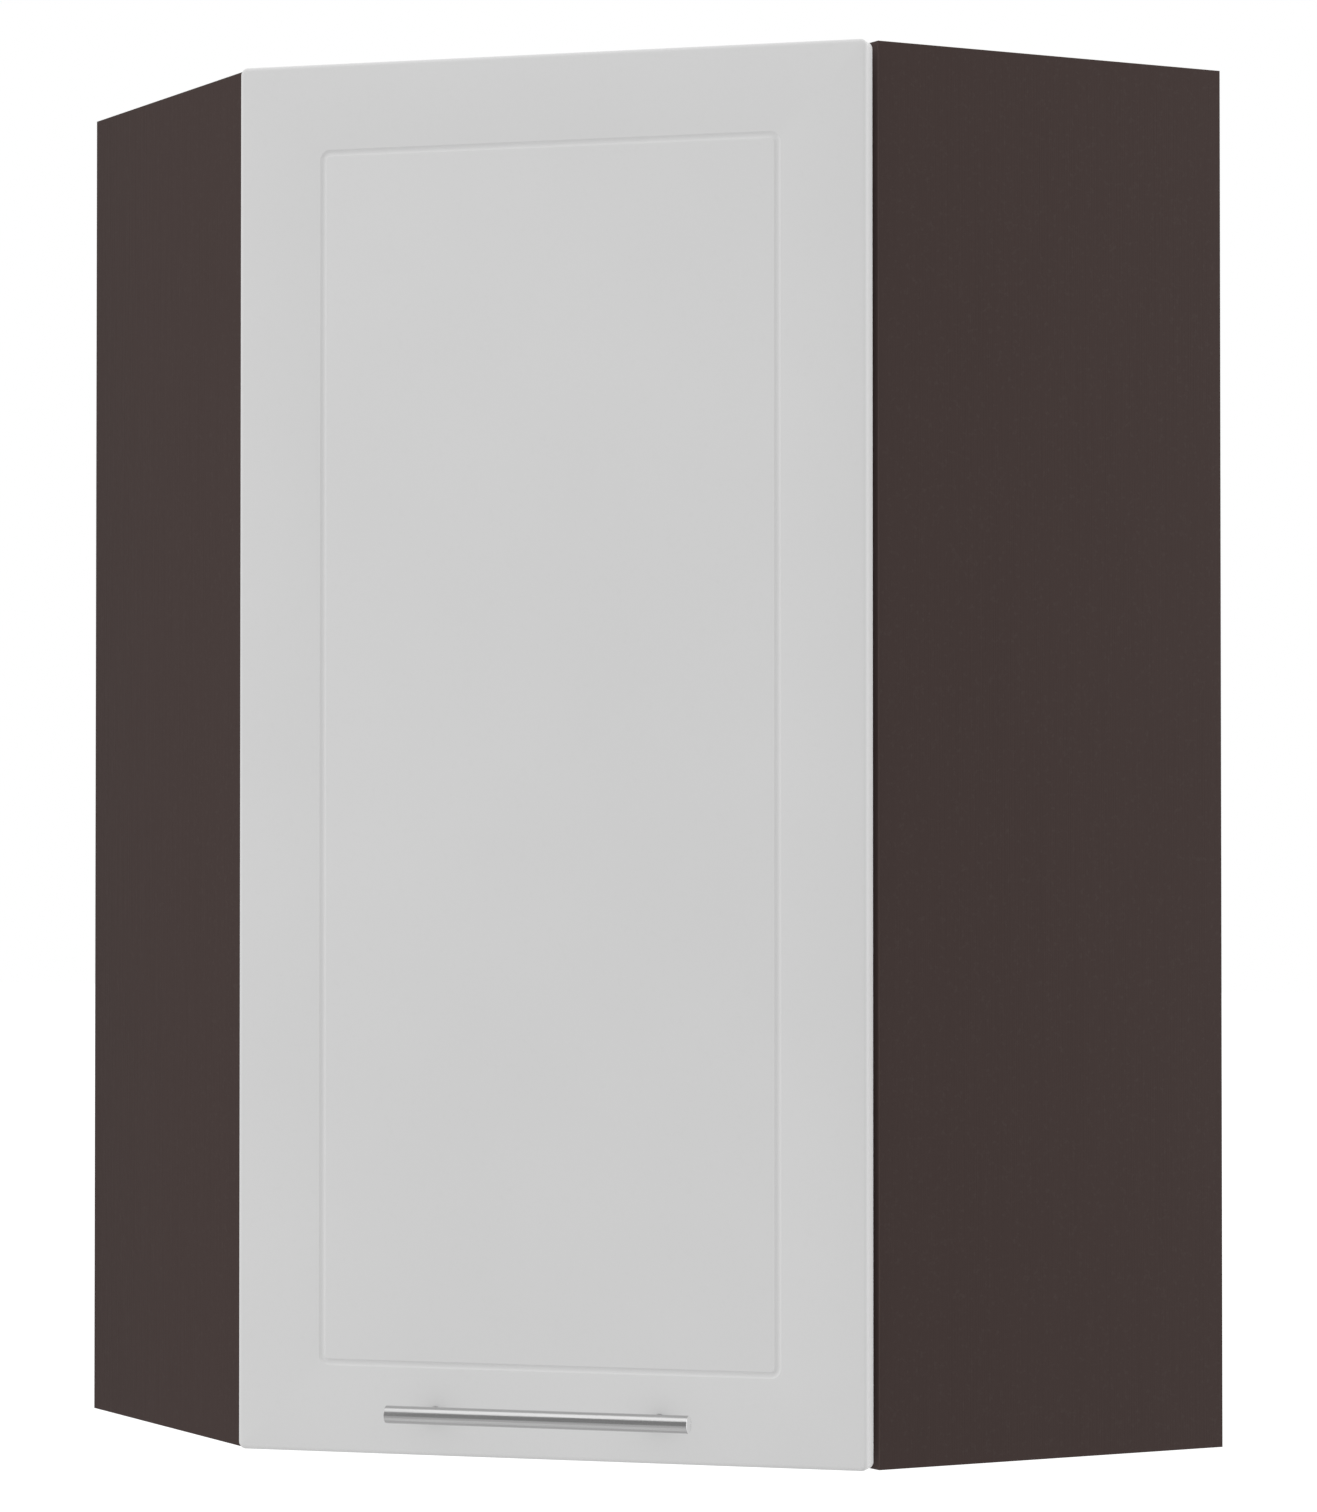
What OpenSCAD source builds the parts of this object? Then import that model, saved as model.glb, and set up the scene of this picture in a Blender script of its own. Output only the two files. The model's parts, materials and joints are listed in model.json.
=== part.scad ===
// Diagonal corner wall cabinet for a 90 degree room corner, with one door on concealed hinges.
// The plan is the same on both sides of X = 0. +Y points into the room corner and the door faces -Y.
// The origin is on the underside, in the middle of the square that the runs along the two walls make.

/* [Carcass] */
// Run of the cabinet along each wall
wall_run = 600; // [560:10:660]
// Height of the carcass
cabinet_h = 960; // [720:20:1000]
// Depth of a side panel from its wall
side_depth = 278; // [260:1:320]
// Thickness of the carcass boards
board_t = 16; // [16:1:19]
// Thickness of the front edge bands
band_t = 0.8; // [0.4:0.2:2]
// Thickness of the thin back panels
back_t = 3; // [2.5:0.5:4]
// Depth of the grooves that hold the back panels
groove_depth = 8; // [5:1:9]
// Width of a corner post board
post_w = 90; // [80:5:120]
// Number of shelves
shelf_count = 2; // [1:1:3]
// How far a shelf stands back behind the bottom panel's front edge
shelf_setback = 18; // [5:1:40]

/* [Carcass fittings] */
// Distance of the cam locks from the wall and from the front edge
fitting_inset = 50; // [45:1:60]
// Spacing of system holes
system_pitch = 32; // [25:1:32]
// Diameter of a cam lock
cam_d = 15; // [12:1:16]
// Height of a cam lock
cam_h = 12.5; // [11:0.5:13]
// Distance from the side panel to a cam's centre
cam_reach = 34; // [28:1:40]
// Diameter of a wooden dowel
dowel_d = 8; // [6:1:8]
// Length of a wooden dowel
dowel_l = 30; // [24:1:35]
// Diameter of a shelf pin's stem
pin_d = 5; // [4:0.5:6]
// Length of a post screw
post_screw_l = 50; // [40:5:60]

/* [Door] */
// Thickness of the door
door_t = 16; // [16:1:22]
// Gap between the back of the door and the side panels
door_gap = 3; // [3:0.5:5]
// How far the door stops short of the carcass at each side
door_side_reveal = 3; // [1:0.1:4]
// How far the door stops short of the carcass at its top and bottom
door_end_reveal = 1.1; // [0.5:0.1:3]
// Radius of the door's corners
door_corner_r = 5; // [4:0.5:8]
// Rounding of the door's front edge
door_edge_r = 3; // [1:0.5:4]
// Distance from the door's edge to the middle of the routed groove
groove_inset = 62; // [50:1:90]
// Width of the routed groove
door_groove_w = 4.5; // [4:0.5:8]
// Depth of the routed groove
door_groove_depth = 1.2; // [0.8:0.1:2]
// Radius of the groove's middle line at its corners
groove_turn_r = 5; // [4:0.5:12]

/* [Handle] */
// Diameter of the handle bar
bar_d = 12; // [10:1:14]
// Length of the handle bar
bar_l = 215; // [190:1:300]
// Distance between the two handle posts
handle_centres = 160; // [96:32:160]
// Diameter of a handle post
post_d = 8; // [7:0.5:10]
// Distance from the door's face to the middle of the bar
handle_reach = 23; // [20:1:34]
// Height of the bar above the door's lower edge
handle_up = 30; // [24:1:45]

/* [Hinges] */
// Number of hinges
hinge_count = 2; // [2:1:3]
// Distance from the carcass ends to the outer hinges
hinge_end = 100; // [80:1:130]
// Diameter of the hinge cup
cup_d = 35; // [35:1:37]
// Depth of the hinge cup
cup_depth = 11.5; // [11.5:0.5:12.5]
// Board left between the cup and the door's edge
cup_edge = 5; // [4:0.5:6]
// Distance from the side panel's front edge to the mounting plate's screws
plate_setback = 37; // [34:1:45]
// Diameter of the link pins
link_pin_d = 2.5; // [2:0.1:2.5]

/* [Wall hangers] */
// Height of a hanger housing
hanger_h = 62; // [56:1:70]
// Depth of a hanger housing, measured away from the wall
hanger_l = 58; // [50:1:66]
// Width of a hanger housing
hanger_w = 16; // [14:0.5:20]
// Thickness of the hook plate
hook_t = 3; // [2:0.5:4]
// Width of the hook plate
hook_h = 16; // [12:1:20]
// Gap between the hook's back and the wall
hook_wall_gap = 4; // [3:0.5:6]

/* [Fits] */
// Play of a back panel in its grooves
groove_play = 0.2; // [0.1:0.1:0.4]
// Play around a dowel, cam, pin or screw in its hole
fit_play = 0.1; // [0.05:0.05:0.2]
// Play of a turning or sliding metal piece
running_play = 0.05; // [0.03:0.01:0.1]
// Gap at each end of a shelf
shelf_play = 0.5; // [0.5:0.5:1.5]

/* [Hidden] */
$fn = 48;
// Overlap of a cutter past the face that it cuts
over = 1;
// Faces of a hole or pin that is under 8 mm across
small_fn = 24;

// Plan
inner_face = wall_run - board_t;
corner_y = wall_run / sqrt(2);
front_half = (wall_run - side_depth) / sqrt(2);
front_y = corner_y - (wall_run + side_depth) / sqrt(2);
front_sum = inner_face + side_depth;
band_sum = band_t * sqrt(2);
back_face = board_t + back_t;
inner_top = cabinet_h - board_t;

// Door
door_back_y = front_y - door_gap;
door_w = 2 * (front_half - door_side_reveal);
door_h = cabinet_h - 2 * door_end_reveal;
handle_screw_d = 4;
handle_screw_l = 10;
groove_r = (pow(door_groove_w / 2, 2) + pow(door_groove_depth, 2)) / (2 * door_groove_depth);

// Shelves
bay_h = (inner_top - board_t - shelf_count * board_t) / (shelf_count + 1);
shelf_levels = [for (i = [1:shelf_count]) board_t + i * bay_h + (i - 1) * board_t];
shelf_side = inner_face - shelf_play;
shelf_back = back_face + groove_play + 1;
shelf_sum = front_sum - shelf_setback * sqrt(2);
pin_stem = 8;
pin_head_d = 7;
pin_head_l = 9;
pin_rows = [60, side_depth - 60];

// Cam locks, dowels and post screws
cam_rows = [fitting_inset, side_depth - fitting_inset];
dowel_rows = [fitting_inset + system_pitch, side_depth - fitting_inset - system_pitch];
cam_play = 0.5;
bolt_thread = 11;
bolt_shank_d = 6.6;
bolt_neck_d = 4;
bolt_head_d = 6.6;
bolt_bore_d = 7;
claw = 2;
post_screw_rows = [30, post_w - 20];
post_screw_head_d = 10;
post_screw_head_h = 2;
post_screw_d = 7;
post_screw_core_d = 5;

// Hinge plan: X from the door's hinge edge and Y from the door's back
cup_x = cup_edge + cup_d / 2;
cup_wall = 1;
pocket_half = 7.2;
flange_t = 1.2;
// How far the cup's rim dips below the door's back where the links swing over it
rim_dip = 1.5;
inner_link_half = 3.5;
arm_wall_in = 3.8;
arm_wall_out = 5;
outer_link_in = 5.3;
outer_link_out = 6.5;
arm_pin_in = [cup_x + 13.1, 1];
arm_pin_out = [cup_x + 8.3, -1.5];
cup_pin_in = [cup_x - 7.1, -1.6];
cup_pin_out = [cup_x - 8.5, -6];
eye_r = link_pin_d / 2 + 0.95;
slot_r = link_pin_d / 2 + 0.35;
slot_from = -0.2;
slot_to = 2.3;
inner_corner = [
    board_t / sqrt(2) - front_half + door_w / 2,
    board_t / sqrt(2) + door_gap,
];
hinge_levels = [
    for (i = [0:hinge_count - 1])
        hinge_end + i * (cabinet_h - 2 * hinge_end) / (hinge_count - 1)
];
cup_screw_off = 9.5;
cup_screw_half = 22.5;
plate_screw_half = 16;
plate_t = 2;
plate_l = 38;
plate_w = 16;
plate_wing_w = 13;
plate_rib_l = 34;
arm_end = plate_setback + 21;
arm_screw_d = 3.4;
side_screw = plate_setback - 9;
fixing_screw = plate_setback + 12.5;
arm_top = 12.2;
arm_skin = 1.2;
// How far the arm's skin reaches past the side panel's front edge
arm_nose = 10;

// Wall hanger, in the plan of its own wall
hanger_back = back_face + groove_play + 1;
hanger_top = inner_top - 12;
hanger_mid = hanger_top - hanger_h / 2;
hanger_wall = 1.8;
slider_travel = 8;
slider_play = 0.3;
slider_h = hanger_h - 2 * hanger_wall - 2 * slider_travel - 4;
slider_w = hanger_w - 2 * hanger_wall - 2 * slider_play;
slider_l = hanger_l - hanger_wall - 4;
hook_tail = 30;
hook_z = hanger_mid + 6;
hook_drop = 10;
hook_w = 10;
depth_screw_z = hanger_mid - 12;
depth_screw_d = 6;
height_screw_z = hanger_mid + slider_h / 2 + slider_travel - 6;
wing_l = 16;
wing_screw_half = 18;

wenge = [0.26, 0.22, 0.21];
door_grey = [0.80, 0.80, 0.80];
steel = [0.72, 0.72, 0.72];
zinc = [0.62, 0.62, 0.60];
hardboard = [0.55, 0.43, 0.30];
beech = [0.80, 0.65, 0.45];
white_plastic = [0.92, 0.92, 0.90];

// Right half of the plan: X along the right wall from the room corner, Y out from that wall
module in_plan() {
    translate([0, corner_y, 0]) rotate([0, 0, -45]) mirror([0, 1, 0]) children();
}

// The same for the left wall
module in_left_plan() {
    mirror([1, 0, 0]) in_plan() children();
}

// Repeats children for the other wall, inside the plan of the right wall
module both_walls() {
    children();
    mirror([1, -1, 0]) children();
}

// Places children at every hinge, in the hinge plan
module at_hinges() {
    for (z = hinge_levels) translate([-door_w / 2, door_back_y, z]) children();
}

// Copies children above and below the hinge's middle plane
module both_cheeks() {
    children();
    mirror([0, 0, 1]) children();
}

// Height of the shelf pins under a shelf
function pin_z(level) = level - pin_head_d / 2;

// A rod from the side panel's inner face: positive length goes into the cabinet
module rod_in(y, z, d, from, to, fn = small_fn) {
    translate([inner_face - to, y, z]) rotate([0, 90, 0]) cylinder(d = d, h = to - from, $fn = fn);
}

// Rectangle with round corners, centred
module round_rect(size, r) {
    square([size[0] - 2 * r, size[1]], center = true);
    square([size[0], size[1] - 2 * r], center = true);
    for (x = [-1, 1], y = [-1, 1])
        translate([x * (size[0] / 2 - r), y * (size[1] / 2 - r)]) circle(r, $fn = 32);
}

// Bar with round ends from p to q
module capsule(p, q, r) {
    d = q - p;
    translate(p) circle(r, $fn = small_fn);
    translate(q) circle(r, $fn = small_fn);
    translate(p) rotate(atan2(d[1], d[0])) translate([0, -r]) square([norm(d), 2 * r]);
}

// Point on the hinge side panel, in the hinge plan: s back from its front edge, h above its inner face
function on_side(s, h) = inner_corner + s * [-1, 1] / sqrt(2) + h * [1, 1] / sqrt(2);

// Turns children to the hinge side panel: X back from its front edge, Y along its height, Z above its face
module on_side_frame() {
    translate([inner_corner[0], inner_corner[1], 0])
        multmatrix([
            [-1 / sqrt(2), 0, 1 / sqrt(2), 0],
            [1 / sqrt(2), 0, 1 / sqrt(2), 0],
            [0, 1, 0, 0],
            [0, 0, 0, 1],
        ])
            children();
}

// Carcass boards

module board_plan(side_face, back, sum) {
    polygon([
        [back, back],
        [side_face, back],
        [side_face, sum - side_face],
        [sum - side_face, side_face],
        [back, side_face],
    ]);
}

module band_plan(side_face, sum) {
    polygon([
        [side_face, sum - side_face],
        [sum - side_face, side_face],
        [sum - band_sum - side_face, side_face],
        [side_face, sum - band_sum - side_face],
    ]);
}

module side_panel(has_hinges) {
    difference() {
        translate([inner_face, 0, 0]) cube([board_t, side_depth - band_t, cabinet_h]);
        translate([inner_face - over, board_t, -over])
            cube([groove_depth + over, back_t + groove_play, cabinet_h + 2 * over]);
        for (z = [board_t / 2, cabinet_h - board_t / 2]) {
            for (y = cam_rows) rod_in(y, z, 5 + 2 * fit_play, -bolt_thread, over);
            for (y = dowel_rows) rod_in(y, z, dowel_d + 2 * fit_play, -dowel_l / 3 - over, over);
        }
        for (level = shelf_levels, y = pin_rows, step = [-1:1])
            rod_in(y, pin_z(level) + step * system_pitch, pin_d + 2 * fit_play, -pin_stem - over, over);
        for (z = [hanger_mid - wing_screw_half, hanger_mid + wing_screw_half])
            rod_in(hanger_back + hanger_l + wing_l / 2, z, 5 + 2 * fit_play, -11, over);
        if (has_hinges)
            for (level = hinge_levels, z = [-plate_screw_half, plate_screw_half])
                rod_in(side_depth - plate_setback, level + z, 5 + 2 * fit_play, -12, over);
    }
}

module right_side_panel() {
    color(wenge) in_plan() side_panel(false);
}

module left_side_panel() {
    color(wenge) in_left_plan() side_panel(true);
}

// Top or bottom panel: base is its underside, and inward is 1 where its groove faces up
module end_panel(base, groove_up) {
    groove_z = groove_up ? base + board_t - groove_depth : base - over;
    head_z = groove_up ? base : base + board_t;
    difference() {
        translate([0, 0, base]) linear_extrude(board_t) board_plan(inner_face, 0, front_sum - band_sum);
        both_walls() {
            translate([board_t + back_t, board_t, groove_z])
                cube([wall_run, back_t + groove_play, groove_depth + over]);
            for (y = cam_rows) {
                rod_in(y, base + board_t / 2, bolt_bore_d, -over, cam_reach);
                translate([inner_face - cam_reach, y, base + board_t / 2 - cam_h / 2 - cam_play / 2])
                    cylinder(d = cam_d + 2 * fit_play, h = board_t);
            }
            for (y = dowel_rows)
                rod_in(y, base + board_t / 2, dowel_d + 2 * fit_play, -over, dowel_l * 2 / 3 + over);
            for (x = post_screw_rows) {
                translate([x, board_t / 2, base - over])
                    cylinder(d = post_screw_d + 2 * fit_play, h = board_t + 2 * over, $fn = small_fn);
                translate([x, board_t / 2, head_z - post_screw_head_h])
                    cylinder(d = post_screw_head_d + 2 * fit_play, h = 2 * post_screw_head_h);
            }
        }
        translate([board_t, board_t, groove_z])
            cube([2 * back_t, back_t + groove_play, groove_depth + over]);
    }
}

module top_panel() {
    color(wenge) in_plan() end_panel(inner_top, false);
}

module bottom_panel() {
    color(wenge) in_plan() end_panel(0, true);
}

module shelves() {
    color(wenge) in_plan()
        for (level = shelf_levels)
            translate([0, 0, level]) linear_extrude(board_t)
                board_plan(shelf_side, shelf_back, shelf_sum - band_sum);
}

module side_edge_bands() {
    color(wenge) {
        in_plan() translate([inner_face, side_depth - band_t, 0]) cube([board_t, band_t, cabinet_h]);
        in_left_plan() translate([inner_face, side_depth - band_t, 0]) cube([board_t, band_t, cabinet_h]);
    }
}

module end_panel_edge_bands() {
    color(wenge) in_plan()
        for (z = [0, inner_top])
            translate([0, 0, z]) linear_extrude(board_t) band_plan(inner_face, front_sum);
}

module shelf_edge_bands() {
    color(wenge) in_plan()
        for (level = shelf_levels)
            translate([0, 0, level]) linear_extrude(board_t) band_plan(shelf_side, shelf_sum);
}

// Thin back panel that starts at the given distance from the room corner, notched for the hanger hook
module back_panel(start) {
    reach = groove_depth - groove_play;
    notch_w = hanger_w + 4;
    notch_low = hook_z - hook_h / 2 - hook_drop - slider_travel - 4;
    difference() {
        translate([start, board_t, board_t - reach])
            cube([inner_face + reach - start, back_t, inner_top - board_t + 2 * reach]);
        translate([inner_face - notch_w, board_t - over, notch_low])
            cube([wall_run, back_t + 2 * over, cabinet_h]);
        for (level = shelf_levels)
            translate([post_w - 30, board_t - over, pin_z(level)]) rotate([-90, 0, 0])
                cylinder(d = pin_d + 2 * fit_play, h = back_t + 2 * over, $fn = small_fn);
    }
}

module right_back_panel() {
    color(hardboard) in_plan() back_panel(back_face + groove_play);
}

module left_back_panel() {
    color(hardboard) in_left_plan() back_panel(board_t + groove_play);
}

module post_board(start) {
    difference() {
        translate([start, 0, board_t]) cube([post_w - start, board_t, inner_top - board_t]);
        for (level = shelf_levels)
            translate([post_w - 30, board_t - pin_stem - over, pin_z(level)]) rotate([-90, 0, 0])
                cylinder(d = pin_d + 2 * fit_play, h = pin_stem + 2 * over, $fn = small_fn);
        for (x = post_screw_rows, z = [board_t - over, inner_top + over - post_screw_l + board_t])
            translate([x, board_t / 2, z])
                cylinder(d = post_screw_core_d + 2 * fit_play, h = post_screw_l - board_t, $fn = small_fn);
    }
}

module right_post_board() {
    color(wenge) in_plan() post_board(0);
}

module left_post_board() {
    color(wenge) in_left_plan() post_board(board_t);
}

// Carcass fittings

// Cam lock with its side pocket open to the bolt and a cross recess on top
module cam_lock() {
    difference() {
        translate([0, 0, -cam_h / 2]) cylinder(d = cam_d, h = cam_h);
        translate([-bolt_head_d / 2, -bolt_head_d / 2 - 0.4, -bolt_head_d / 2 - 0.4])
            cube([bolt_head_d / 2 + cam_d / 2 - claw, bolt_head_d + 0.8, bolt_head_d + 0.8]);
        translate([0, -bolt_neck_d / 2 - 0.4, -bolt_head_d / 2 - 0.4])
            cube([cam_d, bolt_neck_d + 0.8, bolt_head_d + 0.8]);
        for (a = [45, 135])
            rotate([0, 0, a]) translate([0, 0, cam_h / 2]) cube([7, 1.2, 3], center = true);
    }
}

module cam_bolt() {
    neck_from = cam_reach - cam_d / 2 - 0.5;
    head_from = cam_reach - cam_d / 2 + claw + 0.2;
    rod_in(0, 0, 5, -bolt_thread + 0.5, 0);
    rod_in(0, 0, bolt_shank_d, 0, neck_from);
    rod_in(0, 0, bolt_neck_d, neck_from, head_from);
    rod_in(0, 0, bolt_head_d, head_from, head_from + 3);
}

module cam_locks() {
    color(zinc) in_plan() both_walls()
        for (base = [0, inner_top], y = cam_rows)
            translate([inner_face - cam_reach, y, base + board_t / 2]) cam_lock();
}

module cam_bolts() {
    color(steel) in_plan() both_walls()
        for (base = [0, inner_top], y = cam_rows) translate([0, y, base + board_t / 2]) cam_bolt();
}

module cam_caps() {
    cap_r = cam_d / 2 + 1;
    color(wenge) in_plan() both_walls()
        for (y = cam_rows)
            translate([inner_face - cam_reach, y, board_t])
                rotate_extrude() polygon([[0, 0], [cap_r, 0], [cap_r, 0.5], [cap_r - 0.6, 1], [0, 1]]);
}

module dowels() {
    color(beech) in_plan() both_walls()
        for (base = [0, inner_top], y = dowel_rows)
            rod_in(y, base + board_t / 2, dowel_d, -dowel_l / 3, dowel_l * 2 / 3);
}

module post_screw() {
    core_l = post_screw_l - board_t - 2;
    cylinder(d = post_screw_head_d, h = post_screw_head_h, $fn = small_fn);
    cylinder(d = post_screw_d, h = board_t, $fn = small_fn);
    translate([0, 0, board_t]) cylinder(d = post_screw_core_d, h = core_l, $fn = small_fn);
}

module post_screws() {
    color(steel) in_plan() both_walls()
        for (x = post_screw_rows) {
            translate([x, board_t / 2, 0]) post_screw();
            translate([x, board_t / 2, cabinet_h]) mirror([0, 0, 1]) post_screw();
        }
}

module shelf_pin(stem) {
    translate([0, 0, -stem]) cylinder(d = pin_d, h = stem, $fn = small_fn);
    cylinder(d = pin_head_d, h = pin_head_l, $fn = small_fn);
}

module shelf_pins() {
    color(steel) in_plan() both_walls()
        for (level = shelf_levels) {
            for (y = pin_rows)
                translate([inner_face, y, pin_z(level)]) rotate([0, -90, 0]) shelf_pin(pin_stem);
            translate([post_w - 30, back_face, pin_z(level)]) rotate([-90, 0, 0])
                shelf_pin(pin_stem + back_t);
        }
}

// Wall hangers

// Housing: a shell that is open towards the wall, with a flange for its fixing screws
module hanger_housing() {
    in_w = hanger_w - 2 * hanger_wall;
    in_h = hanger_h - 2 * hanger_wall;
    front = hanger_back + hanger_l;
    difference() {
        union() {
            translate([inner_face - hanger_w, hanger_back, hanger_mid])
                rotate([90, 0, 90]) translate([hanger_l / 2, 0, 0])
                    linear_extrude(hanger_w) round_rect([hanger_l, hanger_h], 4);
            translate([inner_face - 2, front + wing_l / 2 - 3, hanger_mid])
                rotate([90, 0, 90]) linear_extrude(2) round_rect([wing_l + 6, hanger_h - 10], 5);
        }
        translate([inner_face - hanger_w + hanger_wall, hanger_back - over, hanger_mid - in_h / 2])
            cube([in_w, hanger_l - hanger_wall + over, in_h]);
        translate([inner_face - hanger_w / 2, front - hanger_wall - over, depth_screw_z])
            rotate([-90, 0, 0]) linear_extrude(hanger_wall + 2 * over)
                capsule([0, -slider_travel - 1], [0, slider_travel + 1], depth_screw_d / 2 + 0.5);
        translate([inner_face - hanger_w / 2, front - hanger_wall - over, height_screw_z])
            rotate([-90, 0, 0]) cylinder(d = depth_screw_d + 2 * fit_play, h = 2 * hanger_wall + 2 * over);
        for (z = [-wing_screw_half, wing_screw_half])
            rod_in(front + wing_l / 2, hanger_mid + z, 5 + 4 * fit_play, -over, 3);
    }
}

// Slider: carries the hook up and down in the housing
module hanger_slider() {
    mid = inner_face - hanger_w / 2;
    difference() {
        translate([mid - slider_w / 2, hanger_back + 2, hanger_mid - slider_h / 2])
            cube([slider_w, slider_l, slider_h]);
        translate([mid - hook_t / 2 - running_play, hanger_back, hook_z - hook_h / 2 - running_play])
            cube([hook_t + 2 * running_play, slider_l - 4, hook_h + 2 * running_play]);
        translate([mid, hanger_back + hanger_l - 24, depth_screw_z])
            rotate([-90, 0, 0]) cylinder(d = 5 + 2 * fit_play, h = 30, $fn = small_fn);
    }
}

// Hook plate: a tail in the slider, and a downward hook over the wall rail
module hanger_hook() {
    mid = inner_face - hanger_w / 2;
    low = hook_z - hook_h / 2;
    translate([mid - hook_t / 2, hook_wall_gap, low])
        cube([hook_t, hanger_back + hook_tail - hook_wall_gap, hook_h]);
    translate([mid - hook_w / 2, hook_wall_gap, low - hook_drop])
        cube([hook_w, hook_t, hook_drop + hook_h]);
}

module depth_screw() {
    front = hanger_back + hanger_l;
    translate([inner_face - hanger_w / 2, 0, depth_screw_z]) rotate([-90, 0, 0]) difference() {
        union() {
            translate([0, 0, front - 20]) cylinder(d = 5, h = 20, $fn = small_fn);
            translate([0, 0, front + 0.3]) cylinder(d = 9, h = 3, $fn = 32);
            translate([0, 0, front - hanger_wall - 1])
                cylinder(d = depth_screw_d, h = hanger_wall + 2, $fn = small_fn);
        }
        for (a = [0, 90]) rotate([0, 0, a]) translate([-3, -0.5, front + 1.6]) cube([6, 1, 3]);
    }
}

module height_screw() {
    front = hanger_back + hanger_l;
    translate([inner_face - hanger_w / 2, 0, height_screw_z]) rotate([-90, 0, 0]) difference() {
        union() {
            translate([0, 0, front - hanger_wall - 1.5])
                cylinder(d = depth_screw_d, h = hanger_wall + 1.5, $fn = small_fn);
            translate([0, 0, front]) cylinder(d = 9, h = 2.5, $fn = 32);
        }
        for (a = [0, 90]) rotate([0, 0, a]) translate([-3, -0.5, front + 1.2]) cube([6, 1, 3]);
    }
}

// The two screws of one hanger housing
module hanger_fixing_screw_pair() {
    for (z = [-wing_screw_half, wing_screw_half])
        translate([0, hanger_back + hanger_l + wing_l / 2, hanger_mid + z]) {
            rod_in(0, 0, 5, -10.5, 2);
            rod_in(0, 0, 9, 2, 4.5, 32);
        }
}

module right_hanger_housing() {
    color(white_plastic) in_plan() hanger_housing();
}

module left_hanger_housing() {
    color(white_plastic) in_left_plan() hanger_housing();
}

module right_hanger_slider() {
    color(zinc) in_plan() hanger_slider();
}

module left_hanger_slider() {
    color(zinc) in_left_plan() hanger_slider();
}

module right_hanger_hook() {
    color(steel) in_plan() hanger_hook();
}

module left_hanger_hook() {
    color(steel) in_left_plan() hanger_hook();
}

module right_depth_screw() {
    color(steel) in_plan() depth_screw();
}

module left_depth_screw() {
    color(steel) in_left_plan() depth_screw();
}

module hanger_height_screws() {
    color(steel) {
        in_plan() height_screw();
        in_left_plan() height_screw();
    }
}

module hanger_fixing_screws() {
    color(steel) {
        in_plan() hanger_fixing_screw_pair();
        in_left_plan() hanger_fixing_screw_pair();
    }
}

// Door and handle

// Turns children so that X and Y lie in the door and Z goes from its back to its front
module on_door() {
    translate([0, door_back_y, cabinet_h / 2]) rotate([90, 0, 0]) children();
}

// Section of the door with its rounded front edges
module door_section(w) {
    translate([-w / 2, 0]) square([w, door_t - door_edge_r]);
    translate([-w / 2 + door_edge_r, 0]) square([w - 2 * door_edge_r, door_t]);
    for (x = [-1, 1]) translate([x * (w / 2 - door_edge_r), door_t - door_edge_r]) circle(door_edge_r);
}

module door_blank() {
    straight_w = door_w - 2 * door_corner_r;
    straight_h = door_h - 2 * door_corner_r;
    rotate([90, 0, 0]) linear_extrude(straight_h, center = true) door_section(door_w);
    rotate([90, 0, 90]) linear_extrude(straight_w, center = true) door_section(door_h);
    for (x = [-1, 1], y = [-1, 1])
        translate([x * straight_w / 2, y * straight_h / 2, 0])
            rotate_extrude() intersection() {
                door_section(2 * door_corner_r);
                square([door_corner_r + over, door_t + over]);
            }
}

// Section of the round-nosed bit that routs the groove, with Y = 0 on the door's face
module groove_section() {
    intersection() {
        translate([0, groove_r - door_groove_depth]) circle(groove_r);
        translate([-door_groove_w / 2, -door_groove_depth - over])
            square([door_groove_w, door_groove_depth + 2 * over]);
    }
}

// Cutter of the routed rectangle
module groove_cutter() {
    x_half = door_w / 2 - groove_inset;
    y_half = door_h / 2 - groove_inset;
    translate([0, 0, door_t]) {
        for (a = [0, 180]) rotate([0, 0, a]) {
            translate([x_half, 0, 0]) rotate([90, 0, 0])
                linear_extrude(2 * (y_half - groove_turn_r), center = true) groove_section();
            translate([0, y_half, 0]) rotate([90, 0, 90])
                linear_extrude(2 * (x_half - groove_turn_r), center = true) groove_section();
            translate([x_half - groove_turn_r, y_half - groove_turn_r, 0])
                rotate_extrude(angle = 90) translate([groove_turn_r, 0]) groove_section();
            translate([groove_turn_r - x_half, y_half - groove_turn_r, 0]) rotate([0, 0, 90])
                rotate_extrude(angle = 90) translate([groove_turn_r, 0]) groove_section();
        }
    }
}

module door_panel() {
    color(door_grey) on_door() difference() {
        door_blank();
        groove_cutter();
        for (x = [-1, 1])
            translate([x * handle_centres / 2, handle_up - door_h / 2, -over])
                cylinder(d = handle_screw_d + 0.5, h = door_t + 2 * over, $fn = small_fn);
        for (level = hinge_levels) translate([cup_x - door_w / 2, level - cabinet_h / 2, 0]) {
            translate([0, 0, -over]) cylinder(d = cup_d + 2 * fit_play, h = cup_depth + 0.5 + over);
            for (y = [-1, 1])
                translate([cup_screw_off, y * cup_screw_half, -over])
                    cylinder(d = 3 + 2 * fit_play, h = 12 + over, $fn = small_fn);
        }
    }
}

// Places children on the axis of the bar, seen from the door's back
module at_handle() {
    on_door() translate([0, handle_up - door_h / 2, door_t]) children();
}

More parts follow.
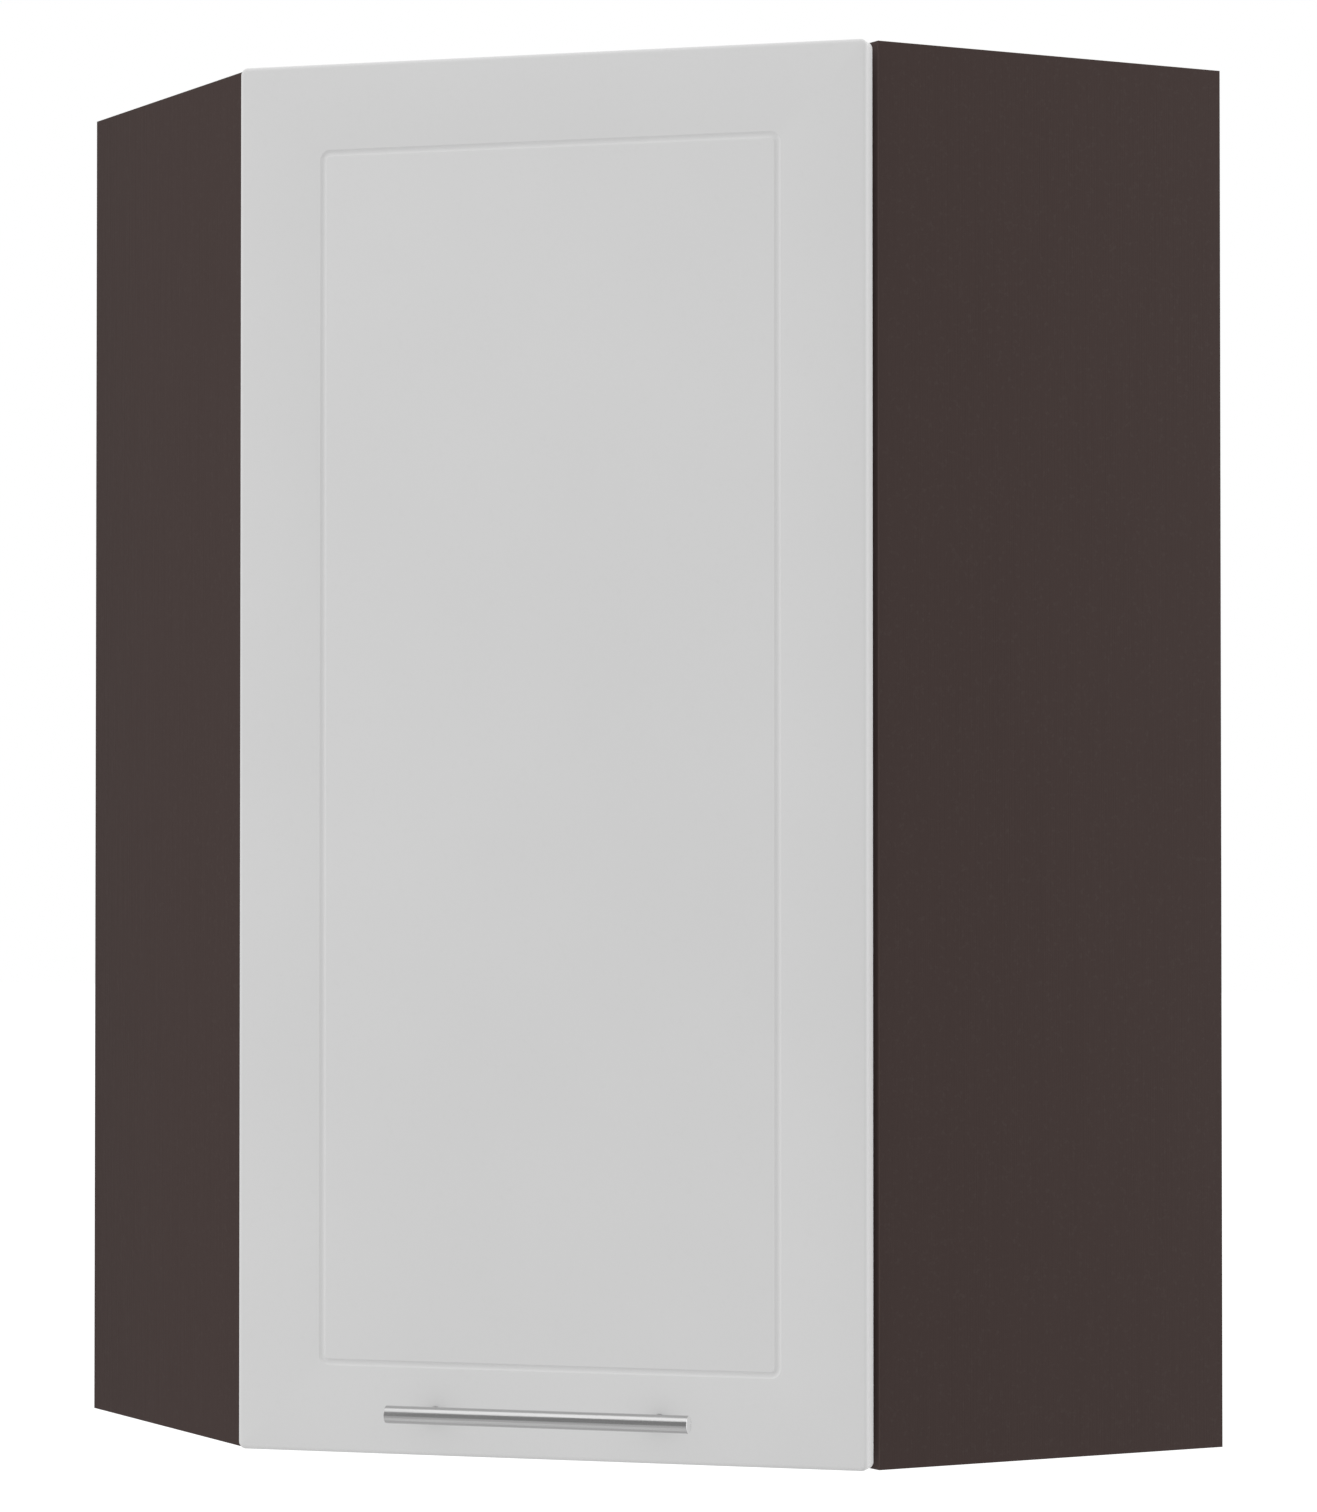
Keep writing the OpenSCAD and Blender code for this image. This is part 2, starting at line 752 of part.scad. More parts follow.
module handle_bar() {
    bevel = 0.6;
    color(steel) at_handle() translate([0, 0, handle_reach]) rotate([0, 90, 0]) rotate_extrude()
        polygon([
            [0, -bar_l / 2],
            [bar_d / 2 - bevel, -bar_l / 2],
            [bar_d / 2, -bar_l / 2 + bevel],
            [bar_d / 2, bar_l / 2 - bevel],
            [bar_d / 2 - bevel, bar_l / 2],
            [0, bar_l / 2],
        ]);
}

module handle_posts() {
    color(steel) at_handle()
        for (x = [-1, 1]) translate([x * handle_centres / 2, 0, 0]) difference() {
            cylinder(d = post_d, h = handle_reach);
            translate([0, 0, handle_reach]) rotate([0, 90, 0])
                cylinder(r = bar_d / 2 + 0.02, h = 2 * post_d, center = true);
            translate([0, 0, -over])
                cylinder(d = handle_screw_d + 2 * running_play, h = handle_screw_l + 1 + over,
                    $fn = small_fn);
        }
}

module handle_screws() {
    color(steel) at_handle()
        for (x = [-1, 1]) translate([x * handle_centres / 2, 0, -door_t]) difference() {
            union() {
                translate([0, 0, -2.4]) cylinder(d = 8.5, h = 2.4);
                cylinder(d = handle_screw_d, h = door_t + handle_screw_l, $fn = small_fn);
            }
            for (a = [0, 90]) rotate([0, 0, a])
                translate([-2.5, -0.5, -2.4 - over]) cube([5, 1, 1.2 + over]);
        }
}

// Concealed hinges

// Flange of the cup, in the hinge plan's X and Z
module cup_wing() {
    circle(d = cup_d + 3);
    translate([cup_screw_off, 0]) round_rect([15, 2 * cup_screw_half + 12], 6);
}

module hinge_cup() {
    floor_y = cup_wall - cup_depth;
    difference() {
        translate([cup_x, 0, 0]) {
            rotate([90, 0, 0]) cylinder(d = cup_d, h = cup_depth);
            rotate([-90, 0, 0]) linear_extrude(flange_t) cup_wing();
        }
        intersection() {
            translate([cup_x, floor_y, 0]) rotate([-90, 0, 0])
                cylinder(d = cup_d - 2 * cup_wall, h = 2 * cup_depth);
            translate([0, floor_y, -pocket_half])
                cube([cup_d + 2 * cup_edge, 2 * cup_depth, 2 * pocket_half]);
        }
        translate([cup_edge - 3, -rim_dip, -pocket_half])
            cube([10, rim_dip + 2 * flange_t, 2 * pocket_half]);
        for (z = [-1, 1])
            translate([cup_x + cup_screw_off, -over, z * cup_screw_half])
                rotate([-90, 0, 0]) cylinder(d = 4, h = flange_t + 2 * over, $fn = small_fn);
        translate([cup_pin_out[0], cup_pin_out[1], -pocket_half - 2])
            cylinder(d = link_pin_d + 2 * running_play, h = 2 * pocket_half + 4, $fn = small_fn);
    }
    both_cheeks() translate([0, 0, arm_wall_in]) linear_extrude(arm_wall_out - arm_wall_in) difference() {
        union() {
            translate(cup_pin_in) circle(eye_r, $fn = small_fn);
            polygon([
                [cup_pin_in[0] - eye_r, cup_pin_in[1]],
                [cup_pin_in[0] - eye_r - 1, floor_y - cup_wall / 2],
                [cup_pin_in[0] + eye_r + 1, floor_y - cup_wall / 2],
                [cup_pin_in[0] + eye_r, cup_pin_in[1]],
            ]);
        }
        translate(cup_pin_in) circle(link_pin_d / 2 + running_play, $fn = small_fn);
    }
}

module hinge_cups() {
    color(steel) at_hinges() hinge_cup();
}

module hinge_cup_screws() {
    color(steel) at_hinges()
        for (z = [-1, 1]) translate([cup_x + cup_screw_off, 0, z * cup_screw_half]) {
            rotate([90, 0, 0]) cylinder(d = 3, h = 11.5, $fn = small_fn);
            rotate([-90, 0, 0]) cylinder(d = 3.6, h = flange_t, $fn = small_fn);
            translate([0, flange_t, 0]) rotate([-90, 0, 0]) cylinder(d1 = 7.5, d2 = 5, h = 1.6);
        }
}

module hinge_cup_pins() {
    color(steel) at_hinges() {
        translate([cup_pin_in[0], cup_pin_in[1], -arm_wall_out])
            cylinder(d = link_pin_d, h = 2 * arm_wall_out, $fn = small_fn);
        both_cheeks() translate([cup_pin_out[0], cup_pin_out[1], outer_link_in - 0.15])
            cylinder(d = link_pin_d, h = pocket_half + 1.5 - outer_link_in, $fn = small_fn);
    }
}

module hinge_inner_links() {
    color(steel) at_hinges() translate([0, 0, -inner_link_half])
        linear_extrude(2 * inner_link_half) difference() {
            union() {
                capsule(cup_pin_in, arm_pin_in, 1.4);
                for (p = [cup_pin_in, arm_pin_in]) translate(p) circle(eye_r, $fn = small_fn);
            }
            for (p = [cup_pin_in, arm_pin_in])
                translate(p) circle(link_pin_d / 2 + running_play, $fn = small_fn);
        }
}

module hinge_outer_links() {
    along = (cup_pin_out - arm_pin_out) / norm(cup_pin_out - arm_pin_out);
    slot_a = cup_pin_out + slot_from * along;
    slot_b = cup_pin_out + slot_to * along;
    color(steel) at_hinges() both_cheeks() translate([0, 0, outer_link_in])
        linear_extrude(outer_link_out - outer_link_in) difference() {
            union() {
                capsule(arm_pin_out, cup_pin_out, 1.6);
                capsule(slot_a, slot_b, slot_r + 0.9);
                translate(arm_pin_out) circle(eye_r, $fn = small_fn);
            }
            capsule(slot_a, slot_b, slot_r);
            translate(arm_pin_out) circle(link_pin_d / 2 + running_play, $fn = small_fn);
        }
}

// Cheek of the arm: two eyes at its nose and a straight shank along the side panel
module arm_cheek() {
    difference() {
        union() {
            translate(arm_pin_in) circle(eye_r, $fn = small_fn);
            translate(arm_pin_out) circle(eye_r, $fn = small_fn);
            capsule(arm_pin_in, on_side(-12, 10), eye_r);
            capsule(arm_pin_out, on_side(-12, 5.2), eye_r);
            polygon([
                on_side(-14, 3),
                on_side(-14, arm_top),
                on_side(arm_end, arm_top),
                on_side(arm_end, 5),
                on_side(arm_end - 4, 3),
            ]);
        }
        for (p = [arm_pin_in, arm_pin_out])
            translate(p) circle(link_pin_d / 2 + running_play, $fn = small_fn);
    }
}

module hinge_arms() {
    color(steel) at_hinges() difference() {
        union() {
            both_cheeks() translate([0, 0, arm_wall_in])
                linear_extrude(arm_wall_out - arm_wall_in) arm_cheek();
            translate([0, 0, -arm_wall_out]) linear_extrude(2 * arm_wall_out)
                polygon([
                    on_side(-arm_nose, arm_top - arm_skin),
                    on_side(-arm_nose, arm_top),
                    on_side(arm_end, arm_top),
                    on_side(arm_end, arm_top - arm_skin),
                ]);
        }
        on_side_frame() {
            translate([fixing_screw, 0, arm_top - 2 * arm_skin]) linear_extrude(3 * arm_skin)
                capsule([-2.5, 0], [2.5, 0], arm_screw_d / 2 + 0.5);
            translate([side_screw, 0, arm_top - 2 * arm_skin])
                cylinder(d = arm_screw_d + 0.8, h = 3 * arm_skin, $fn = small_fn);
        }
    }
}

module hinge_arm_pins() {
    color(steel) at_hinges() {
        translate([arm_pin_in[0], arm_pin_in[1], -arm_wall_out])
            cylinder(d = link_pin_d, h = 2 * arm_wall_out, $fn = small_fn);
        both_cheeks() translate([arm_pin_out[0], arm_pin_out[1], arm_wall_in])
            cylinder(d = link_pin_d, h = outer_link_out - arm_wall_in + 0.2, $fn = small_fn);
    }
}

// Flat closing spring in the arm's channel, with its tip over the inner link's eye
module hinge_springs() {
    tip = arm_pin_in + (eye_r + 1) * [1, 1] / sqrt(2);
    under_skin = arm_top - arm_skin - 0.6;
    color(steel) at_hinges() translate([0, 0, -3]) linear_extrude(6) {
        capsule(on_side(plate_setback - 20, under_skin), on_side(-arm_nose, under_skin), 0.4);
        capsule(on_side(-arm_nose, under_skin), tip, 0.4);
    }
}

// Mounting plate: a cross-shaped base with a rib that the arm straddles
module hinge_plates() {
    rib_half = arm_wall_in - 0.4;
    rib_top = arm_top - arm_skin - 0.1;
    color(steel) at_hinges() on_side_frame() difference() {
        union() {
            linear_extrude(plate_t) {
                translate([plate_setback + 2, 0]) round_rect([plate_l, plate_w], 3);
                translate([plate_setback, 0])
                    round_rect([plate_wing_w, 2 * plate_screw_half + plate_wing_w], 6);
            }
            translate([plate_setback + 2 - plate_rib_l / 2, -rib_half, 0])
                cube([plate_rib_l, 2 * rib_half, rib_top]);
        }
        for (y = [-1, 1])
            translate([plate_setback, y * plate_screw_half, -over])
                cylinder(d = 5 + 4 * fit_play, h = plate_t + 2 * over, $fn = small_fn);
        for (x = [side_screw, fixing_screw])
            translate([x, 0, rib_top - 6]) cylinder(d = arm_screw_d + 2 * fit_play, h = 8, $fn = small_fn);
    }
}

module hinge_plate_screws() {
    color(steel) at_hinges() on_side_frame()
        for (y = [-1, 1]) translate([plate_setback, y * plate_screw_half, 0]) {
            translate([0, 0, -11.5]) cylinder(d = 5, h = 11.5 + plate_t, $fn = small_fn);
            translate([0, 0, plate_t]) cylinder(d1 = 10, d2 = 7, h = 2.2);
        }
}

module hinge_arm_screws() {
    color(steel) at_hinges() on_side_frame()
        for (x = [side_screw, fixing_screw]) translate([x, 0, 0]) difference() {
            union() {
                translate([0, 0, arm_top - 6]) cylinder(d = arm_screw_d, h = 6, $fn = small_fn);
                translate([0, 0, arm_top]) cylinder(d = 7, h = 2);
            }
            for (a = [0, 90]) rotate([0, 0, a]) translate([-2.2, -0.45, arm_top + 0.9]) cube([4.4, 0.9, 3]);
        }
}

right_side_panel();
left_side_panel();
top_panel();
bottom_panel();
shelves();
right_back_panel();
left_back_panel();
right_post_board();
left_post_board();
side_edge_bands();
end_panel_edge_bands();
shelf_edge_bands();
cam_locks();
cam_bolts();
cam_caps();
dowels();
post_screws();
shelf_pins();
right_hanger_housing();
left_hanger_housing();
right_hanger_slider();
left_hanger_slider();
right_hanger_hook();
left_hanger_hook();
right_depth_screw();
left_depth_screw();
hanger_height_screws();
hanger_fixing_screws();
door_panel();
handle_bar();
handle_posts();
handle_screws();
hinge_cups();
hinge_cup_screws();
hinge_cup_pins();
hinge_inner_links();
hinge_outer_links();
hinge_arms();
hinge_arm_pins();
hinge_springs();
hinge_plates();
hinge_plate_screws();
hinge_arm_screws();
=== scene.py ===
# Kitchen wall cabinet for a room corner: looks and finishes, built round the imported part.
# Lengths are in metres. The door faces -Y, +Y points into the room corner and +Z is up.
import json
import math

import bmesh
import bpy
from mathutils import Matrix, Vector

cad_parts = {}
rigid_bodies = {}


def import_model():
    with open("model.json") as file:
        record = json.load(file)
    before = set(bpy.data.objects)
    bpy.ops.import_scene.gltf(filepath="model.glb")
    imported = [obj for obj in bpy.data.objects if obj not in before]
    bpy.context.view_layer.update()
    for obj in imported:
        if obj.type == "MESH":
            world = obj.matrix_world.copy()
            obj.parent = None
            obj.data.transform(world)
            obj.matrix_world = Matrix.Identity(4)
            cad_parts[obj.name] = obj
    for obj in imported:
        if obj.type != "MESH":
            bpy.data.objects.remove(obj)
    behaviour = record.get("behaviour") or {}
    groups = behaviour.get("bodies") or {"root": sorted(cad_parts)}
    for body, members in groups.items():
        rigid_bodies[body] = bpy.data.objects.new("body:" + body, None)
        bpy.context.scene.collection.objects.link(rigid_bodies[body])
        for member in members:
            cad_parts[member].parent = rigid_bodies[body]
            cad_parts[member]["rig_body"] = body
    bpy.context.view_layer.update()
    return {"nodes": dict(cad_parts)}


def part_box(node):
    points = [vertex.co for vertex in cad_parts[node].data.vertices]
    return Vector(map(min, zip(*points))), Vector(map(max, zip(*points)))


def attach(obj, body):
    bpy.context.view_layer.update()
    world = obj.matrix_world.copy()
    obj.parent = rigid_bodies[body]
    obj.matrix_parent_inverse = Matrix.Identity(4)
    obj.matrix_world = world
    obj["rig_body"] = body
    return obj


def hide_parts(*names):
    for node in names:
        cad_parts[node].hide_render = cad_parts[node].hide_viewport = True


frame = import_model()

# Sizes of the cabinet that the made pieces are fitted to
DOOR_BACK, DOOR_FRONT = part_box("door_panel")[1].y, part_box("door_panel")[0].y
DOOR_LEFT, DOOR_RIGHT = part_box("door_panel")[0].x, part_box("door_panel")[1].x
DOOR_LOW, DOOR_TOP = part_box("door_panel")[0].z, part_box("door_panel")[1].z
DOOR_MIDDLE = (DOOR_LOW + DOOR_TOP) / 2
CORNER_RADIUS = 0.005
FRONT_EDGE_RADIUS = 0.003
GROOVE_INSET = 0.062
GROOVE_WIDTH = 0.0045
GROOVE_DEPTH = 0.0012
GROOVE_CORNER = 0.00725
GROOVE_LIP = 0.0006
BAR_RADIUS = 0.006
BAR_LENGTH = 0.215
BAR_Y = (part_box("handle_bar")[0].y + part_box("handle_bar")[1].y) / 2
BAR_Z = (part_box("handle_bar")[0].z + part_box("handle_bar")[1].z) / 2
POST_X = 0.080
POST_RADIUS = 0.004
POST_SCREW_RADIUS = 0.00205
POST_HOLE_DEPTH = 0.011
POST_CLEARANCE = 0.00002
DOOR_HOLE_RADIUS = 0.00225
CUP_X = DOOR_LEFT + 0.0225
CUP_LEVELS = (0.100, 0.860)
CUP_HOLE_RADIUS = 0.0176
CUP_HOLE_DEPTH = 0.012
CUP_SCREW_RADIUS = 0.0016
CUP_SCREW_ASIDE = 0.0095
CUP_SCREW_RISE = 0.0225
PAST_FACE = 0.001
TOUCH = 1e-6

# Level of the floor below the hanging cabinet
FLOOR_LEVEL = -1.4


# Handling of pieces

def deselect():
    """Leaves edit mode and deselects every object."""
    if bpy.context.object and bpy.context.object.mode != "OBJECT":
        bpy.ops.object.mode_set(mode="OBJECT")
    bpy.ops.object.select_all(action="DESELECT")


def pick(piece):
    """Makes one piece the only selected and the active object."""
    deselect()
    piece.select_set(True)
    bpy.context.view_layer.objects.active = piece


def settle(piece):
    """Puts a piece's place, turn and size into its mesh."""
    pick(piece)
    bpy.ops.object.transform_apply(location=True, rotation=True, scale=True)


def open_edit(piece, kind, wanted):
    """Opens a piece in edit mode with only the edges or faces selected that the test picks."""
    pick(piece)
    bpy.ops.object.mode_set(mode="EDIT")
    bpy.ops.mesh.select_mode(type=kind)
    bpy.ops.mesh.select_all(action="DESELECT")
    work = bmesh.from_edit_mesh(piece.data)
    for part in work.edges if kind == "EDGE" else work.faces:
        part.select_set(bool(wanted(part)))
    bmesh.update_edit_mesh(piece.data)


def edit_edges(piece, wanted):
    open_edit(piece, "EDGE", wanted)


def edit_faces(piece, wanted):
    open_edit(piece, "FACE", wanted)


def on_face(edge, level):
    """Tells whether an edge lies on the plane that faces along Y at a level."""
    return all(abs(point.co.y - level) < TOUCH for point in edge.verts)


def close_edit():
    bpy.ops.object.mode_set(mode="OBJECT")


def smooth(piece, degrees=30):
    """Shades a piece smooth, except across edges sharper than the angle."""
    pick(piece)
    bpy.ops.object.shade_smooth_by_angle(angle=math.radians(degrees))


def cut(piece, cutter):
    """Cuts one piece out of another and removes the cutter."""
    carve = piece.modifiers.new("cut", "BOOLEAN")
    carve.operation = "DIFFERENCE"
    carve.solver = "EXACT"
    carve.object = cutter
    pick(piece)
    bpy.ops.object.modifier_apply(modifier=carve.name)
    bpy.data.objects.remove(cutter)


def rod(name, radius, start, end, sides=96):
    """A round rod between two points that share two of their three coordinates."""
    start, end = Vector(start), Vector(end)
    span = end - start
    turn = (0, 0, 0)
    if abs(span.x) > 1e-6:
        turn = (0, math.radians(90), 0)
    elif abs(span.y) > 1e-6:
        turn = (math.radians(90), 0, 0)
    deselect()
    bpy.ops.mesh.primitive_cylinder_add(
        vertices=sides, radius=radius, depth=span.length, location=(start + end) / 2, rotation=turn)
    piece = bpy.context.object
    piece.name = name
    settle(piece)
    return piece


def join(pieces, name):
    """Joins pieces into one object."""
    pick(pieces[0])
    for piece in pieces:
        piece.select_set(True)
    bpy.ops.object.join()
    pieces[0].name = name
    return pieces[0]


def stand_in(piece, node):
    """Lets a made piece take the place of a CAD node, on the node's own body."""
    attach(piece, frame["nodes"][node]["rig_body"])
    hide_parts(node)


def keep_inside(piece, node):
    """Moves the few points that rounding has pushed out of a node's box back onto it."""
    low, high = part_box(node)
    for point in piece.data.vertices:
        for axis in range(3):
            point.co[axis] = min(max(point.co[axis], low[axis]), high[axis])


def eased(node, width, segments=2, shortest=0.0, sharpest=35):
    """A copy of a CAD node with its sharp edges rounded, as tools and moulds leave them."""
    mesh = frame["nodes"][node].data.copy()
    piece = bpy.data.objects.new(node + ".eased", mesh)
    bpy.context.scene.collection.objects.link(piece)
    pick(piece)
    bpy.ops.mesh.customdata_custom_splitnormals_clear()
    bpy.ops.object.mode_set(mode="EDIT")
    bpy.ops.mesh.select_mode(type="VERT")
    bpy.ops.mesh.select_all(action="SELECT")
    bpy.ops.mesh.remove_doubles(threshold=1e-5)
    bpy.ops.mesh.dissolve_limited(angle_limit=math.radians(0.5))
    close_edit()
    limit = math.radians(sharpest)
    edit_edges(piece, lambda edge: len(edge.link_faces) == 2
               and edge.calc_length() > shortest and edge.calc_face_angle() > limit)
    bpy.ops.mesh.bevel(offset=width, segments=segments, affect="EDGES")
    close_edit()
    keep_inside(piece, node)
    smooth(piece)
    stand_in(piece, node)
    return piece


# Door with a routed rectangle

def groove_profile():
    """Steps of the routed groove's section: how far each ring stands in, and how deep it lies."""
    nose = (GROOVE_WIDTH ** 2 / 4 + GROOVE_DEPTH ** 2) / (2 * GROOVE_DEPTH)
    points = [(0.0, 0.0), (0.00022, 0.00003), (0.00042, 0.00014)]
    steps = 10
    for i in range(steps + 1):
        across = GROOVE_LIP + (GROOVE_WIDTH - GROOVE_LIP) * i / steps
        from_middle = across - GROOVE_LIP / 2 - GROOVE_WIDTH / 2
        depth = math.sqrt(nose ** 2 - from_middle ** 2) - (nose - GROOVE_DEPTH)
        points.append((across, max(depth, 0.00025)))
    last = GROOVE_WIDTH + GROOVE_LIP
    points += [(last - 0.00042, 0.00014), (last - 0.00022, 0.00003), (last, 0.0)]
    return points


def make_door():
    """The door: a rounded board with a routed rectangle, hinge cup holes and handle holes."""
    deselect()
    bpy.ops.mesh.primitive_cube_add(
        size=1, location=(0, (DOOR_BACK + DOOR_FRONT) / 2, DOOR_MIDDLE),
        scale=(DOOR_RIGHT - DOOR_LEFT, DOOR_BACK - DOOR_FRONT, DOOR_TOP - DOOR_LOW))
    door = bpy.context.object
    door.name = "door_panel.routed"
    settle(door)
    edit_edges(door, lambda e: abs(e.verts[0].co.y - e.verts[1].co.y) > 0.01)
    bpy.ops.mesh.bevel(offset=CORNER_RADIUS, segments=8, affect="EDGES")
    close_edit()
    edit_edges(door, lambda e: on_face(e, DOOR_FRONT))
    bpy.ops.mesh.bevel(offset=FRONT_EDGE_RADIUS, segments=6, affect="EDGES")
    close_edit()
    edit_edges(door, lambda e: on_face(e, DOOR_BACK))
    bpy.ops.mesh.bevel(offset=0.0005, segments=2, affect="EDGES")
    close_edit()

    reach = GROOVE_INSET - GROOVE_WIDTH / 2 - GROOVE_LIP / 2
    deselect()
    bpy.ops.mesh.primitive_plane_add(
        size=1, location=(0, DOOR_FRONT, DOOR_MIDDLE), rotation=(math.radians(90), 0, 0))
    field = bpy.context.object
    field.scale = (DOOR_RIGHT - DOOR_LEFT - 2 * reach, DOOR_TOP - DOOR_LOW - 2 * reach, 1)
    settle(field)
    pick(field)
    bpy.ops.object.mode_set(mode="EDIT")
    bpy.ops.mesh.select_mode(type="VERT")
    bpy.ops.mesh.select_all(action="SELECT")
    bpy.ops.mesh.bevel(offset=GROOVE_CORNER + GROOVE_LIP / 2, segments=8, affect="VERTICES")
    bpy.ops.mesh.select_mode(type="FACE")
    bpy.ops.mesh.select_all(action="SELECT")
    rings = groove_profile()
    for before, after in zip(rings, rings[1:]):
        bpy.ops.mesh.inset(thickness=after[0] - before[0], depth=before[1] - after[1])
    close_edit()

    edit_faces(door, lambda f: f.normal.y < -0.999 and f.calc_area() > 0.1)
    bpy.ops.mesh.delete(type="ONLY_FACE")
    close_edit()
    door = join([door, field], "door_panel.routed")
    edit_edges(door, lambda e: e.is_boundary)
    bpy.ops.mesh.bridge_edge_loops()
    bpy.ops.mesh.select_all(action="SELECT")
    bpy.ops.mesh.normals_make_consistent(inside=False)
    close_edit()

    hole_end = DOOR_BACK - CUP_HOLE_DEPTH
    for level in CUP_LEVELS:
        cut(door, rod("cutter", CUP_HOLE_RADIUS, (CUP_X, hole_end, level),
                      (CUP_X, DOOR_BACK + PAST_FACE, level)))
        for up in (-CUP_SCREW_RISE, CUP_SCREW_RISE):
            x = CUP_X + CUP_SCREW_ASIDE
            cut(door, rod("cutter", CUP_SCREW_RADIUS, (x, hole_end, level + up),
                          (x, DOOR_BACK + PAST_FACE, level + up), sides=32))
    for x in (-POST_X, POST_X):
        cut(door, rod("cutter", DOOR_HOLE_RADIUS, (x, DOOR_FRONT - PAST_FACE, BAR_Z),
                      (x, DOOR_BACK + PAST_FACE, BAR_Z), sides=32))
    smooth(door, 28)
    stand_in(door, "door_panel")
    return door


# Bar handle

def make_bar():
    """The turned bar, chamfered at both ends."""
    bar = rod("handle_bar.turned", BAR_RADIUS,
              (-BAR_LENGTH / 2, BAR_Y, BAR_Z), (BAR_LENGTH / 2, BAR_Y, BAR_Z))
    edit_edges(bar, lambda e: abs(e.verts[0].co.x - e.verts[1].co.x) < TOUCH)
    bpy.ops.mesh.bevel(offset=0.0006, segments=3, affect="EDGES")
    close_edit()
    smooth(bar, 25)
    stand_in(bar, "handle_bar")
    return bar


def make_posts():
    """Two posts, each hollowed where the bar lies and drilled for its screw."""
    posts = []
    for side, x in (("left", -POST_X), ("right", POST_X)):
        post = rod("post_" + side, POST_RADIUS, (x, BAR_Y, BAR_Z), (x, DOOR_FRONT, BAR_Z), sides=64)
        edit_edges(post, lambda e: on_face(e, DOOR_FRONT))
        bpy.ops.mesh.bevel(offset=0.0003, segments=2, affect="EDGES")
        close_edit()
        cut(post, rod("cutter", BAR_RADIUS + POST_CLEARANCE,
                      (x - 0.01, BAR_Y, BAR_Z), (x + 0.01, BAR_Y, BAR_Z)))
        cut(post, rod("cutter", POST_SCREW_RADIUS, (x, DOOR_FRONT - POST_HOLE_DEPTH, BAR_Z),
                      (x, DOOR_FRONT + PAST_FACE, BAR_Z), sides=32))
        posts.append(post)
    pair = join(posts, "handle_posts.turned")
    smooth(pair)
    stand_in(pair, "handle_posts")
    return pair


# Building of materials

def add(tree, kind, inputs=None, **settings):
    """Adds a shader node, sets its options, and fills or links its inputs."""
    made = tree.nodes.new("ShaderNode" + kind)
    for name, value in settings.items():
        setattr(made, name, value)
    for name, value in (inputs or {}).items():
        if isinstance(value, bpy.types.NodeSocket):
            tree.links.new(value, made.inputs[name])
        else:
            made.inputs[name].default_value = value
    return made


def maths(tree, operation, first, second=0.5, clamp=False):
    """A Math node's result. Its two inputs are numbers or sockets."""
    return add(tree, "Math", {0: first, 1: second}, operation=operation, use_clamp=clamp).outputs[0]


def mixed(tree, factor, first, second, blend="MIX"):
    """The colour between two colours, or of one blended over the other."""
    return add(tree, "Mix", {0: factor, 6: first, 7: second}, data_type="RGBA", blend_type=blend).outputs[2]


def ranged(tree, value, low, high, new_low, new_high):
    """A value stretched from one range to another, and held inside it."""
    return add(tree, "MapRange", {0: value, 1: low, 2: high, 3: new_low, 4: new_high}).outputs[0]


def noise(tree, vector, scale, detail=3.0, roughness=0.5):
    return add(tree, "TexNoise", {"Vector": vector, "Scale": scale, "Detail": detail,
                                  "Roughness": roughness}).outputs[0]


def open_group(name, inputs, outputs):
    """Starts a node group and returns it with its input sockets and its output node."""
    tree = bpy.data.node_groups.new(name, "ShaderNodeTree")
    for label, kind, value in inputs:
        made = tree.interface.new_socket(label, in_out="INPUT", socket_type="NodeSocket" + kind)
        if value is not None:
            made.default_value = value
    for label, kind in outputs:
        tree.interface.new_socket(label, in_out="OUTPUT", socket_type="NodeSocket" + kind)
    way_in = tree.nodes.new("NodeGroupInput")
    way_out = tree.nodes.new("NodeGroupOutput")
    return tree, way_in.outputs, way_out


def use(tree, group, **inputs):
    """Places a node group in a material and returns its outputs."""
    made = tree.nodes.new("ShaderNodeGroup")
    made.node_tree = group
    for name, value in inputs.items():
        socket = made.inputs[name.replace("_", " ")]
        if isinstance(value, bpy.types.NodeSocket):
            tree.links.new(value, socket)
        else:
            socket.default_value = value
    return made.outputs


def make_fibre_group():
    """Long fine streaks with broad tonal bands. The vector comes in already stretched."""
    tree, given, result = open_group(
        "fibre_streaks", [("Vector", "Vector", None), ("Fine", "Float", 1.0), ("Broad", "Float", 0.08)],
        [("Streaks", "Float"), ("Bands", "Float")])
    fine = noise(tree, given["Vector"], given["Fine"], 5.0, 0.62)
    broad = noise(tree, given["Vector"], given["Broad"], 2.0, 0.5)
    tree.links.new(ranged(tree, fine, 0.34, 0.66, 0.0, 1.0), result.inputs["Streaks"])
    tree.links.new(ranged(tree, broad, 0.3, 0.7, 0.0, 1.0), result.inputs["Bands"])
    return tree


def make_wear_group():
    """Where edges and corners are rubbed: a rounded normal against the true one, broken up by noise."""
    tree, given, result = open_group(
        "rubbed_edges", [("Vector", "Vector", None), ("Radius", "Float", 0.0008), ("Patches", "Float", 60.0)],
        [("Wear", "Float")])
    rounded = add(tree, "Bevel", {"Radius": given["Radius"]}, samples=4).outputs[0]
    true = add(tree, "NewGeometry").outputs["Normal"]
    along = add(tree, "VectorMath", {0: rounded, 1: true}, operation="DOT_PRODUCT").outputs["Value"]
    bent = ranged(tree, along, 0.995, 0.80, 0.0, 1.0)
    patches = noise(tree, given["Vector"], given["Patches"], 4.0, 0.6)
    broken = ranged(tree, patches, 0.38, 0.62, 0.25, 1.0)
    tree.links.new(maths(tree, "MULTIPLY", bent, broken), result.inputs["Wear"])
    return tree


